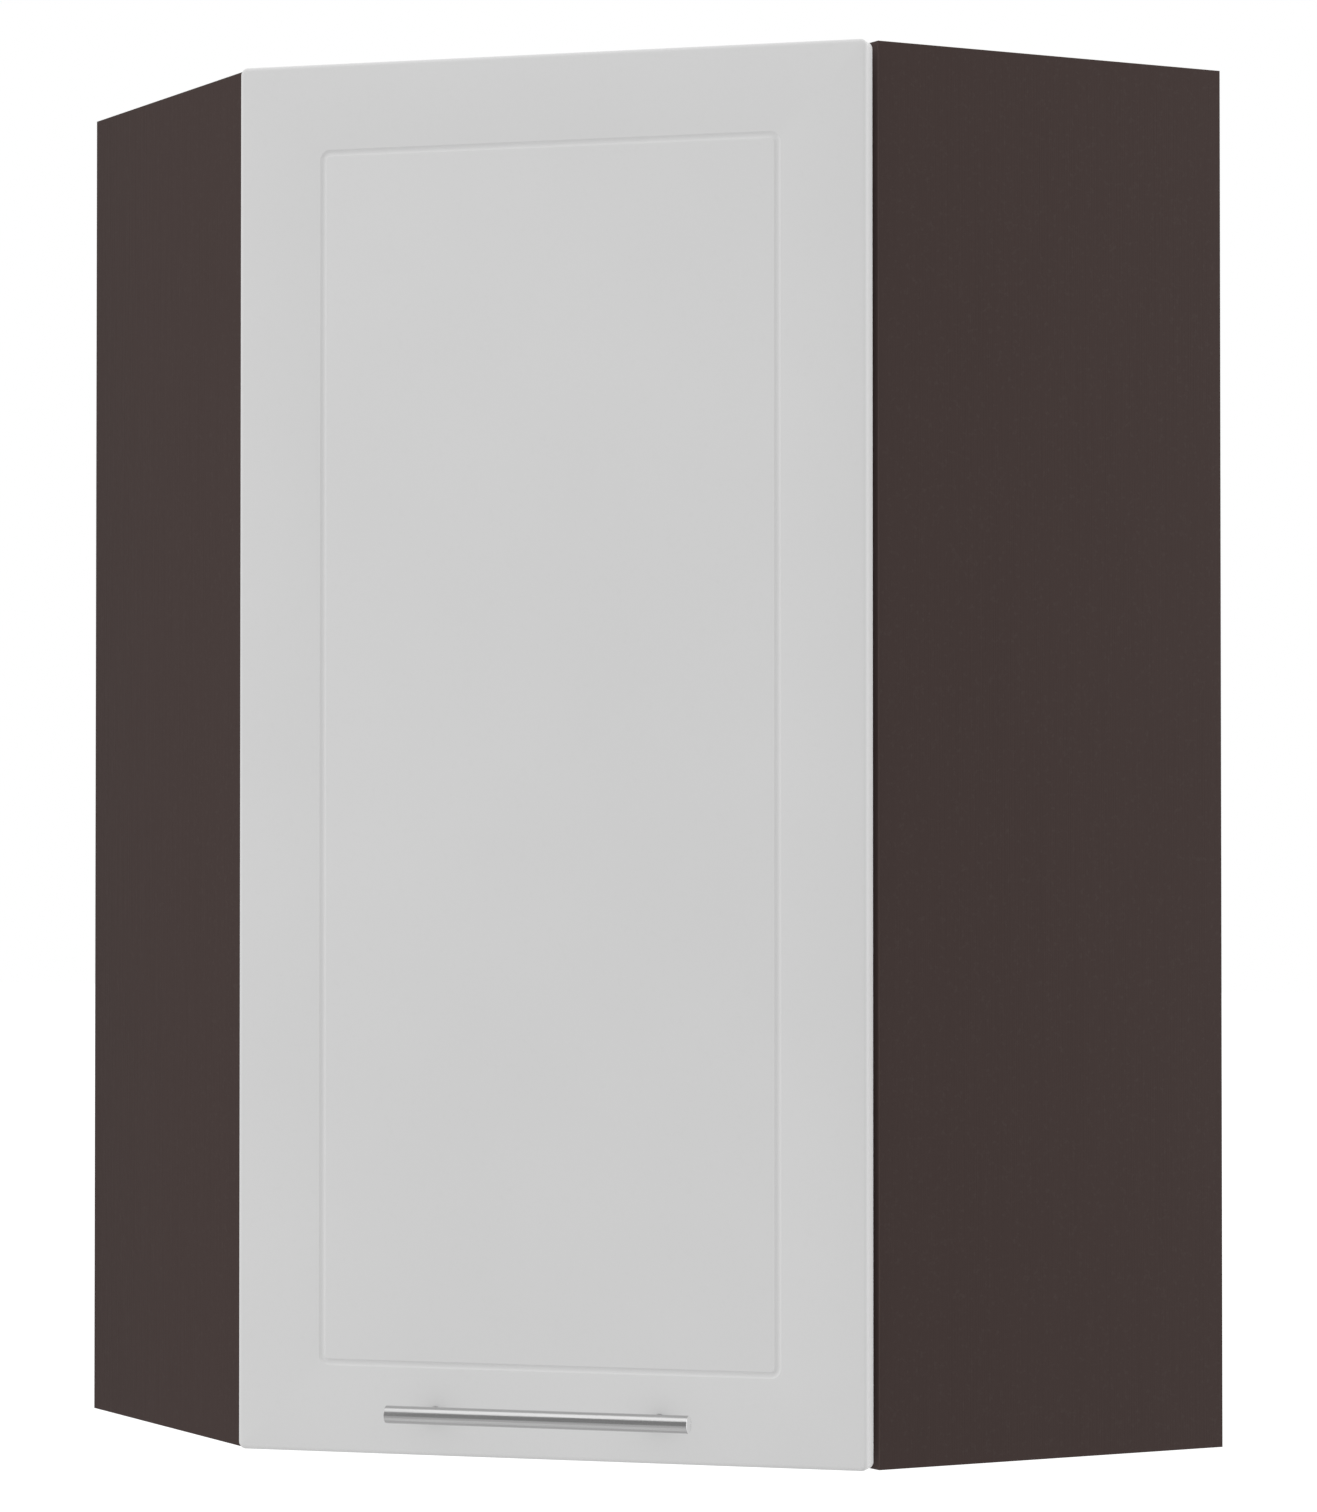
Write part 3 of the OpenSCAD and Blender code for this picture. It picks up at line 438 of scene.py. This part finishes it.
def make_marks_group():
    """Faint wiped patches and dust that change how a surface shines."""
    tree, given, result = open_group(
        "wiped_patches", [("Vector", "Vector", None), ("Size", "Float", 7.0)],
        [("Patches", "Float"), ("Dust", "Float")])
    wide = noise(tree, given["Vector"], given["Size"], 4.0, 0.55)
    dust = noise(tree, given["Vector"], maths(tree, "MULTIPLY", given["Size"], 45.0), 2.0, 0.7)
    tree.links.new(ranged(tree, wide, 0.35, 0.65, 0.0, 1.0), result.inputs["Patches"])
    tree.links.new(ranged(tree, dust, 0.56, 0.72, 0.0, 1.0), result.inputs["Dust"])
    return tree


def make_flake_group():
    """Cut edge of chipboard: pale and dark wood chips pressed together."""
    tree, given, result = open_group(
        "chipboard_flakes", [("Vector", "Vector", None), ("Chips", "Float", 420.0)],
        [("Colour", "Color"), ("Height", "Float")])
    cells = add(tree, "TexVoronoi", {"Vector": given["Vector"], "Scale": given["Chips"], "Randomness": 1.0})
    tone = add(tree, "SeparateColor", {0: cells.outputs["Color"]}).outputs[0]
    ramp = add(tree, "ValToRGB", {0: tone})
    ramp.color_ramp.elements[0].color = (0.16, 0.085, 0.035, 1)
    ramp.color_ramp.elements[1].color = (0.56, 0.38, 0.20, 1)
    middle = ramp.color_ramp.elements.new(0.45)
    middle.color = (0.38, 0.235, 0.115, 1)
    gaps = ranged(tree, cells.outputs["Distance"], 0.35, 0.75, 0.0, 1.0)
    dark = mixed(tree, maths(tree, "MULTIPLY", gaps, 0.6), ramp.outputs[0], (0.07, 0.038, 0.018, 1))
    tree.links.new(dark, result.inputs["Colour"])
    tree.links.new(maths(tree, "SUBTRACT", tone, gaps), result.inputs["Height"])
    return tree


def make_skin_group():
    """The slight ripple of a sprayed or moulded skin, with a finer grit on it."""
    tree, given, result = open_group(
        "sprayed_skin", [("Vector", "Vector", None), ("Ripple", "Float", 420.0)], [("Height", "Float")])
    ripple = noise(tree, given["Vector"], given["Ripple"], 1.0, 0.4)
    grit = noise(tree, given["Vector"], maths(tree, "MULTIPLY", given["Ripple"], 6.0), 2.0, 0.5)
    tree.links.new(maths(tree, "ADD", ripple, maths(tree, "MULTIPLY", grit, 0.35)), result.inputs["Height"])
    return tree


FIBRES = make_fibre_group()
WEAR = make_wear_group()
MARKS = make_marks_group()
FLAKES = make_flake_group()
SKIN = make_skin_group()


def open_material(name, **sockets):
    """Starts a material and returns it with its node tree, its shader and the piece's own coordinates."""
    material = bpy.data.materials.new(name)
    material.use_nodes = True
    tree = material.node_tree
    tree.nodes.clear()
    shader = add(tree, "BsdfPrincipled")
    for label, value in sockets.items():
        shader.inputs[label.replace("_", " ")].default_value = value
    result = add(tree, "OutputMaterial")
    tree.links.new(shader.outputs[0], result.inputs["Surface"])
    place = add(tree, "TexCoord").outputs["Object"]
    return material, tree, shader, place


def stretched(tree, place, scale, turn=(0, 0, 0)):
    return add(tree, "Mapping", {"Vector": place, "Scale": scale, "Rotation": turn}).outputs[0]


def raise_surface(tree, shader, height, distance, strength=1.0):
    bump = add(tree, "Bump", {"Height": height, "Distance": distance, "Strength": strength})
    tree.links.new(bump.outputs[0], shader.inputs["Normal"])


def faces_towards(tree, direction, limit):
    """A mask that is 1 on the faces that look towards a direction of the piece's own frame."""
    true = add(tree, "NewGeometry").outputs["True Normal"]
    normal = add(tree, "VectorTransform", {"Vector": true}, vector_type="NORMAL",
                 convert_from="WORLD", convert_to="OBJECT").outputs[0]
    along = add(tree, "VectorMath", {0: normal, 1: direction}, operation="DOT_PRODUCT").outputs["Value"]
    return maths(tree, "GREATER_THAN", along, limit)


BOARD_BROWN = (0.0545, 0.0381, 0.0352)


def shade(colour, times):
    return tuple(c * times for c in colour) + (1,)


def melamine(name, grain_scale, raw_back=False, raw_top=False):
    """Dark brown melamine board. Cut edges against the wall, or on top, are bare chipboard."""
    material, tree, shader, place = open_material(name, Specular_IOR_Level=0.05)
    fibres = use(tree, FIBRES, Vector=stretched(tree, place, grain_scale), Fine=1.0, Broad=0.07)
    marks = use(tree, MARKS, Vector=place, Size=6.0)
    wear = use(tree, WEAR, Vector=place, Radius=0.0007, Patches=45.0)["Wear"]
    tone = mixed(tree, fibres["Streaks"], shade(BOARD_BROWN, 0.98), shade(BOARD_BROWN, 1.02))
    tone = mixed(tree, maths(tree, "MULTIPLY", fibres["Bands"], 0.35), tone, shade(BOARD_BROWN, 1.03))
    tone = mixed(tree, maths(tree, "MULTIPLY", marks["Dust"], 0.03), tone, (0.25, 0.24, 0.22, 1))
    tone = mixed(tree, maths(tree, "MULTIPLY", wear, 0.35), tone, (0.15, 0.11, 0.09, 1))
    rough = ranged(tree, fibres["Streaks"], 0.0, 1.0, 0.50, 0.42)
    rough = maths(tree, "ADD", rough, maths(tree, "MULTIPLY", marks["Patches"], 0.07))
    height = fibres["Streaks"]
    raw = None
    if raw_back:
        raw = faces_towards(tree, (0, 1, 0), 0.6)
    if raw_top:
        raw = maths(tree, "ADD", raw, faces_towards(tree, (0, 0, 1), 0.9), clamp=True)
    if raw is not None:
        chips = use(tree, FLAKES, Vector=place, Chips=380.0)
        tone = mixed(tree, raw, tone, chips["Colour"])
        rough = add(tree, "Mix", {0: raw, 2: rough, 3: 0.85}, data_type="FLOAT").outputs[0]
        height = add(tree, "Mix", {0: raw, 2: height, 3: chips["Height"]}, data_type="FLOAT").outputs[0]
    tree.links.new(tone, shader.inputs["Base Color"])
    tree.links.new(rough, shader.inputs["Roughness"])
    raise_surface(tree, shader, height, 0.00004)
    return material


def edge_band():
    """Thin plastic edge band, about a fifth paler than the board and a little smoother."""
    material, tree, shader, place = open_material("edge_band", Specular_IOR_Level=0.08)
    marks = use(tree, MARKS, Vector=place, Size=14.0)
    wear = use(tree, WEAR, Vector=place, Radius=0.0005, Patches=80.0)["Wear"]
    fibres = use(tree, FIBRES, Vector=stretched(tree, place, (500, 500, 12)), Fine=1.0, Broad=0.1)
    tone = mixed(tree, fibres["Streaks"], shade(BOARD_BROWN, 1.16), shade(BOARD_BROWN, 1.28))
    tone = mixed(tree, maths(tree, "MULTIPLY", wear, 0.45), tone, (0.16, 0.12, 0.10, 1))
    tree.links.new(tone, shader.inputs["Base Color"])
    tree.links.new(ranged(tree, marks["Patches"], 0, 1, 0.36, 0.44), shader.inputs["Roughness"])
    raise_surface(tree, shader, use(tree, SKIN, Vector=place, Ripple=500.0)["Height"], 0.00002)
    return material


def door_paint():
    """Light grey satin paint with a faint sprayed ripple, painted paler where the surface turns from the front:
    painted light that lifts the shade on the groove walls, the rounded edges and the door's sides.
    """
    material, tree, shader, place = open_material("door_paint", Specular_IOR_Level=0.2)
    grey = (0.608, 0.608, 0.608)
    marks = use(tree, MARKS, Vector=place, Size=4.5)
    wear = use(tree, WEAR, Vector=place, Radius=0.0007, Patches=50.0)["Wear"]
    tone = mixed(tree, marks["Patches"], shade(grey, 0.992), shade(grey, 1.008))
    tone = mixed(tree, maths(tree, "MULTIPLY", marks["Dust"], 0.03), tone, (0.42, 0.41, 0.39, 1))
    tone = mixed(tree, maths(tree, "MULTIPLY", wear, 0.10), tone, (0.74, 0.73, 0.71, 1))
    normal = add(tree, "TexCoord").outputs["Normal"]
    level = add(tree, "VectorMath", {0: normal, 1: (0, 1, 0)}, operation="DOT_PRODUCT").outputs["Value"]
    painted_light_on_slopes = maths(tree, "SUBTRACT", 1.0, maths(tree, "ABSOLUTE", level))
    # Painted light: up to a fifth paler where the surface turns from the front, lifting the shade there
    tone = mixed(tree, painted_light_on_slopes, tone, shade(grey, 1.20))
    tree.links.new(tone, shader.inputs["Base Color"])
    tree.links.new(ranged(tree, marks["Patches"], 0, 1, 0.46, 0.54), shader.inputs["Roughness"])
    raise_surface(tree, shader, use(tree, SKIN, Vector=place, Ripple=380.0)["Height"], 0.00003)
    return material


def hardboard():
    """Thin fibreboard: a printed brown face inside and a raw wire-marked face towards the wall."""
    material, tree, shader, place = open_material("hardboard", Specular_IOR_Level=0.05)
    wall_side = faces_towards(tree, (0, 1, 0), 0.1)
    felt = noise(tree, place, 240.0, 6.0, 0.65)
    specks = noise(tree, place, 900.0, 2.0, 0.6)
    raw = mixed(tree, ranged(tree, felt, 0.3, 0.7, 0, 1), (0.19, 0.105, 0.048, 1), (0.34, 0.20, 0.10, 1))
    raw = mixed(tree, ranged(tree, specks, 0.60, 0.72, 0, 0.6), raw, (0.08, 0.045, 0.022, 1))
    fibres = use(tree, FIBRES, Vector=stretched(tree, place, (700, 700, 12)), Fine=1.0, Broad=0.07)
    print_tone = mixed(tree, fibres["Streaks"], shade(BOARD_BROWN, 0.92), shade(BOARD_BROWN, 1.06))
    tree.links.new(mixed(tree, wall_side, print_tone, raw), shader.inputs["Base Color"])
    tree.links.new(ranged(tree, wall_side, 0, 1, 0.5, 0.82), shader.inputs["Roughness"])
    turned = stretched(tree, place, (1, 1, 1), (0, 0, math.radians(45)))
    wires, crossed, rows = [
        add(tree, "TexWave", {"Vector": turned, "Scale": 190.0, "Distortion": 0.4}, bands_direction=way).outputs[1]
        for way in "XYZ"]
    weave = maths(tree, "MULTIPLY", maths(tree, "ADD", wires, crossed), rows)
    height = maths(tree, "ADD", maths(tree, "MULTIPLY", weave, wall_side), maths(tree, "MULTIPLY", felt, 0.4))
    raise_surface(tree, shader, height, 0.00010)
    return material


def beech():
    """Plain turned hardwood, as dowels are made of."""
    material, tree, shader, place = open_material("beech", Specular_IOR_Level=0.3)
    fibres = use(tree, FIBRES, Vector=stretched(tree, place, (1300, 1300, 1300)), Fine=1.0, Broad=0.2)
    tone = mixed(tree, fibres["Streaks"], (0.50, 0.30, 0.14, 1), (0.66, 0.43, 0.22, 1))
    tree.links.new(tone, shader.inputs["Base Color"])
    tree.links.new(ranged(tree, fibres["Bands"], 0, 1, 0.6, 0.7), shader.inputs["Roughness"])
    raise_surface(tree, shader, fibres["Streaks"], 0.00005)
    return material


def brushed_steel(name, line_scale, base=(0.50, 0.50, 0.50), shine=(0.24, 0.34), pale_ends=False):
    """Steel with fine brushing lines. The lines run along the axis that is stretched least."""
    material, tree, shader, place = open_material(name, Metallic=1.0)
    lines = use(tree, FIBRES, Vector=stretched(tree, place, line_scale), Fine=1.0, Broad=0.12)
    marks = use(tree, MARKS, Vector=place, Size=30.0)
    wear = use(tree, WEAR, Vector=place, Radius=0.0004, Patches=120.0)["Wear"]
    tone = mixed(tree, lines["Streaks"], shade(base, 0.90), shade(base, 1.08))
    tone = mixed(tree, maths(tree, "MULTIPLY", wear, 0.5), tone, shade(base, 1.35))
    if pale_ends:
        # Paler on the two end faces of the bar
        end_faces = maths(tree, "ADD", faces_towards(tree, (1, 0, 0), 0.6), faces_towards(tree, (-1, 0, 0), 0.6))
        tone = mixed(tree, end_faces, tone, shade(base, 1.7))
    tree.links.new(tone, shader.inputs["Base Color"])
    rough = ranged(tree, lines["Streaks"], 0, 1, shine[1], shine[0])
    rough = maths(tree, "ADD", rough, maths(tree, "MULTIPLY", marks["Patches"], 0.04))
    tree.links.new(rough, shader.inputs["Roughness"])
    raise_surface(tree, shader, lines["Streaks"], 0.000012)
    return material


def plated_steel(name, base, rough_low, rough_high, ripple, lift):
    """Plated or cast metal with a slightly uneven skin and brighter rubbed edges."""
    material, tree, shader, place = open_material(name, Metallic=1.0)
    marks = use(tree, MARKS, Vector=place, Size=90.0)
    wear = use(tree, WEAR, Vector=place, Radius=0.0003, Patches=300.0)["Wear"]
    tone = mixed(tree, marks["Patches"], shade(base, 0.94), shade(base, 1.05))
    tone = mixed(tree, maths(tree, "MULTIPLY", wear, 0.6), tone, shade(base, 1.3))
    tree.links.new(tone, shader.inputs["Base Color"])
    tree.links.new(ranged(tree, marks["Patches"], 0, 1, rough_low, rough_high), shader.inputs["Roughness"])
    raise_surface(tree, shader, use(tree, SKIN, Vector=place, Ripple=ripple)["Height"], lift)
    return material


def moulded(name, colour, rough_low, rough_high):
    """Moulded plastic with a fine spark-eroded texture."""
    material, tree, shader, place = open_material(name, Specular_IOR_Level=0.3)
    marks = use(tree, MARKS, Vector=place, Size=40.0)
    wear = use(tree, WEAR, Vector=place, Radius=0.0004, Patches=200.0)["Wear"]
    tone = mixed(tree, marks["Patches"], shade(colour, 0.97), shade(colour, 1.02))
    tone = mixed(tree, maths(tree, "MULTIPLY", wear, 0.3), tone, shade(colour, 1.2))
    tone = mixed(tree, maths(tree, "MULTIPLY", marks["Dust"], 0.05), tone, (0.35, 0.33, 0.30, 1))
    tree.links.new(tone, shader.inputs["Base Color"])
    tree.links.new(ranged(tree, marks["Patches"], 0, 1, rough_low, rough_high), shader.inputs["Roughness"])
    raise_surface(tree, shader, use(tree, SKIN, Vector=place, Ripple=2200.0)["Height"], 0.00002)
    return material


FINISHES = {
    "board_upright": melamine("board_upright", (900, 900, 9), raw_back=True, raw_top=True),
    "board_level": melamine("board_level", (9, 900, 900), raw_back=True),
    "board_post": melamine("board_post", (900, 900, 9)),
    "edge_band": edge_band(),
    "door_paint": door_paint(),
    "hardboard": hardboard(),
    "beech": beech(),
    "bar_steel": brushed_steel("bar_steel", (18, 3800, 3800), (0.56, 0.56, 0.56), (0.15, 0.21),
                               pale_ends=True),
    "post_steel": brushed_steel("post_steel", (3800, 18, 3800), (0.42, 0.42, 0.42)),
    "nickel_plate": plated_steel("nickel_plate", (0.62, 0.60, 0.57), 0.20, 0.30, 900.0, 0.00002),
    "cast_zinc": plated_steel("cast_zinc", (0.42, 0.43, 0.44), 0.38, 0.50, 1500.0, 0.00006),
    "moulded_white": moulded("moulded_white", (0.72, 0.72, 0.69), 0.38, 0.46),
    "moulded_brown": moulded("moulded_brown", (0.050, 0.038, 0.034), 0.40, 0.50),
}


def finish(piece, name):
    """Gives a piece one finish all over."""
    piece.data.materials.clear()
    piece.data.materials.append(FINISHES[name])


# Carcass boards and bands, with their sharp cut edges eased

BOARDS = {
    "right_side_panel": "board_upright", "left_side_panel": "board_upright",
    "top_panel": "board_level", "bottom_panel": "board_level", "shelves": "board_level",
    "right_post_board": "board_post", "left_post_board": "board_post",
}
BANDS = ("side_edge_bands", "end_panel_edge_bands", "shelf_edge_bands")

for board_name, board_finish in BOARDS.items():
    finish(eased(board_name, 0.0002, shortest=0.012), board_finish)
for band_name in BANDS:
    finish(eased(band_name, 0.0003, segments=3, shortest=0.010), "edge_band")
for back_name in ("right_back_panel", "left_back_panel"):
    finish(eased(back_name, 0.0002, shortest=0.012), "hardboard")

# Door and handle

finish(make_door(), "door_paint")
bar = make_bar()
bar.visible_diffuse = False  # The photo shows no soft shade of the bar on the door
finish(bar, "bar_steel")
finish(make_posts(), "post_steel")

# Fittings: the larger ones with eased edges, the small fasteners as they are

EASED_FITTINGS = {
    "right_hanger_housing": ("white_plastic", 0.0004, "moulded_white"),
    "left_hanger_housing": ("white_plastic", 0.0004, "moulded_white"),
    "right_hanger_slider": ("zinc", 0.0003, "cast_zinc"),
    "left_hanger_slider": ("zinc", 0.0003, "cast_zinc"),
    "right_hanger_hook": ("plated_steel", 0.0003, "nickel_plate"),
    "left_hanger_hook": ("plated_steel", 0.0003, "nickel_plate"),
    "cam_caps": ("brown_cap", 0.0002, "moulded_brown"),
    "hinge_cups": ("plated_steel", 0.0001, "nickel_plate"),
    "hinge_arms": ("plated_steel", 0.0001, "nickel_plate"),
    "hinge_plates": ("plated_steel", 0.0001, "nickel_plate"),
}
PLAIN_FITTINGS = {
    "cam_locks": "cast_zinc", "cam_bolts": "nickel_plate", "dowels": "beech", "post_screws": "nickel_plate",
    "shelf_pins": "nickel_plate", "right_depth_screw": "nickel_plate", "left_depth_screw": "nickel_plate",
    "hanger_height_screws": "nickel_plate", "hanger_fixing_screws": "nickel_plate",
    "handle_screws": "nickel_plate", "hinge_cup_screws": "nickel_plate", "hinge_cup_pins": "nickel_plate",
    "hinge_inner_links": "nickel_plate", "hinge_outer_links": "nickel_plate",
    "hinge_arm_pins": "nickel_plate", "hinge_springs": "nickel_plate",
    "hinge_plate_screws": "nickel_plate", "hinge_arm_screws": "nickel_plate",
}
for node_name, (slot_name, ease, finish_name) in EASED_FITTINGS.items():
    finish(eased(node_name, ease), finish_name)
for node_name, finish_name in PLAIN_FITTINGS.items():
    finish(frame["nodes"][node_name], finish_name)


# Room: pale floor, white world, soft lights, and grey cards that only gloss sees

def seen_directly(tree):
    """1 for the rays that show a surface in the picture, in gloss or through glass, else 0."""
    seen = add(tree, "LightPath").outputs
    direct = maths(tree, "ADD", seen["Is Camera Ray"], seen["Is Glossy Ray"], clamp=True)
    return maths(tree, "ADD", direct, seen["Is Transmission Ray"], clamp=True)


def lit_world():
    """White sky, a little stronger on the part than it shows in the picture."""
    world = bpy.data.worlds.new("pale_room")
    bpy.context.scene.world = world
    world.use_nodes = True
    tree = world.node_tree
    tree.nodes.clear()
    strength = ranged(tree, seen_directly(tree), 0, 1, 1.07, 1.0)
    light = add(tree, "Background", {"Color": (1, 1, 1, 1), "Strength": strength})
    tree.links.new(light.outputs[0], add(tree, "OutputWorld").inputs["Surface"])


def make_floor():
    """Pale floor that keeps the part's shadow, and lights the part from below less than the sky does."""
    deselect()
    bpy.ops.mesh.primitive_plane_add(size=120, location=(0, 0, FLOOR_LEVEL))
    floor = bpy.context.object
    floor.name = "floor"
    material = bpy.data.materials.new("pale_floor")
    material.use_nodes = True
    tree = material.node_tree
    tree.nodes.clear()
    shadowed = add(tree, "BsdfDiffuse", {"Color": (0.30, 0.30, 0.30, 1)})
    plain = add(tree, "Emission", {"Color": (1, 1, 1, 1), "Strength": 0.725})
    glow = add(tree, "Emission", {"Color": (1, 1, 1, 1), "Strength": 0.80})
    white = add(tree, "AddShader", {0: shadowed.outputs[0], 1: glow.outputs[0]})
    both = add(tree, "MixShader", {0: seen_directly(tree), 1: plain.outputs[0], 2: white.outputs[0]})
    tree.links.new(both.outputs[0], add(tree, "OutputMaterial").inputs["Surface"])
    floor.data.materials.append(material)


def make_card(name, place, turned, size, grey):
    """A grey card that only gloss sees, as a studio sets up to draw bands on steel."""
    deselect()
    bpy.ops.mesh.primitive_plane_add(
        size=1, location=place, rotation=tuple(math.radians(degrees) for degrees in turned))
    card = bpy.context.object
    card.name = name
    card.scale = (size[0], size[1], 1)
    material = bpy.data.materials.new(name + "_grey")
    material.use_nodes = True
    tree = material.node_tree
    tree.nodes.clear()
    glow = add(tree, "Emission", {"Color": (1, 1, 1, 1), "Strength": grey})
    tree.links.new(glow.outputs[0], add(tree, "OutputMaterial").inputs["Surface"])
    card.data.materials.append(material)
    for ray in ("camera", "diffuse", "shadow", "transmission", "volume_scatter"):
        setattr(card, "visible_" + ray, False)


def add_lamp(name, place, aim, size, power, on_gloss_only=False, shadows=True):
    """A rectangular softbox at a place, aimed at a point."""
    data = bpy.data.lights.new(name, "AREA")
    data.shape = "RECTANGLE"
    data.size, data.size_y = size
    data.energy = power
    data.use_shadow = shadows
    lamp = bpy.data.objects.new(name, data)
    bpy.context.scene.collection.objects.link(lamp)
    lamp.location = place
    lamp.rotation_euler = (Vector(aim) - Vector(place)).to_track_quat("-Z", "Y").to_euler()
    lamp.visible_diffuse = not on_gloss_only
    return lamp


def add_fill(name, heading, power):
    """Even light from far off, which leaves no highlight on steel."""
    data = bpy.data.lights.new(name, "SUN")
    data.energy = power
    data.angle = math.radians(30)
    lamp = bpy.data.objects.new(name, data)
    bpy.context.scene.collection.objects.link(lamp)
    lamp.rotation_euler = Vector(heading).to_track_quat("-Z", "Y").to_euler()
    lamp.visible_glossy = False
    return lamp


def make_camera():
    """The camera, where the photo was taken from as solved from its long edges."""
    data = bpy.data.cameras.new("camera")
    data.lens = 119.36
    data.sensor_width = 36
    data.clip_end = 200
    camera = bpy.data.objects.new("camera", data)
    bpy.context.scene.collection.objects.link(camera)
    camera.location = (1.0549, -3.4610, 0.4146)
    camera.rotation_euler = (math.radians(90 + 1.0845), 0, math.radians(16.7325))
    bpy.context.scene.camera = camera


lit_world()
make_floor()
make_card("front_card", (-0.5, -1.9, 0.531), (90, 0, 0), (5.0, 1.99), 0.31)
make_card("low_card", (-0.5, -2.4, -1.0), (0, 0, 0), (7.0, 7.2), 0.60)
make_card("under_card", (-0.5, -0.815, -0.98), (0, 0, 0), (7.0, 0.97), 0.78)
make_card("left_card", (-3.0, 2.0, 0.8), (90, 0, 90), (6.0, 4.4), 0.20)
add_lamp("overhead_softbox", (-0.3, -2.0, 2.8), (-0.3, -2.0, 0.0), (3.6, 4.6), 20, on_gloss_only=True)
add_lamp("key_softbox", (-9.0, -5.5, 2.0), (-0.2, -0.1, 0.5), (4.0, 4.0), 230, shadows=False)
add_fill("right_fill", (-1, -0.6, 0), 1.0)
make_camera()
bpy.context.scene.view_settings.view_transform = "Standard"
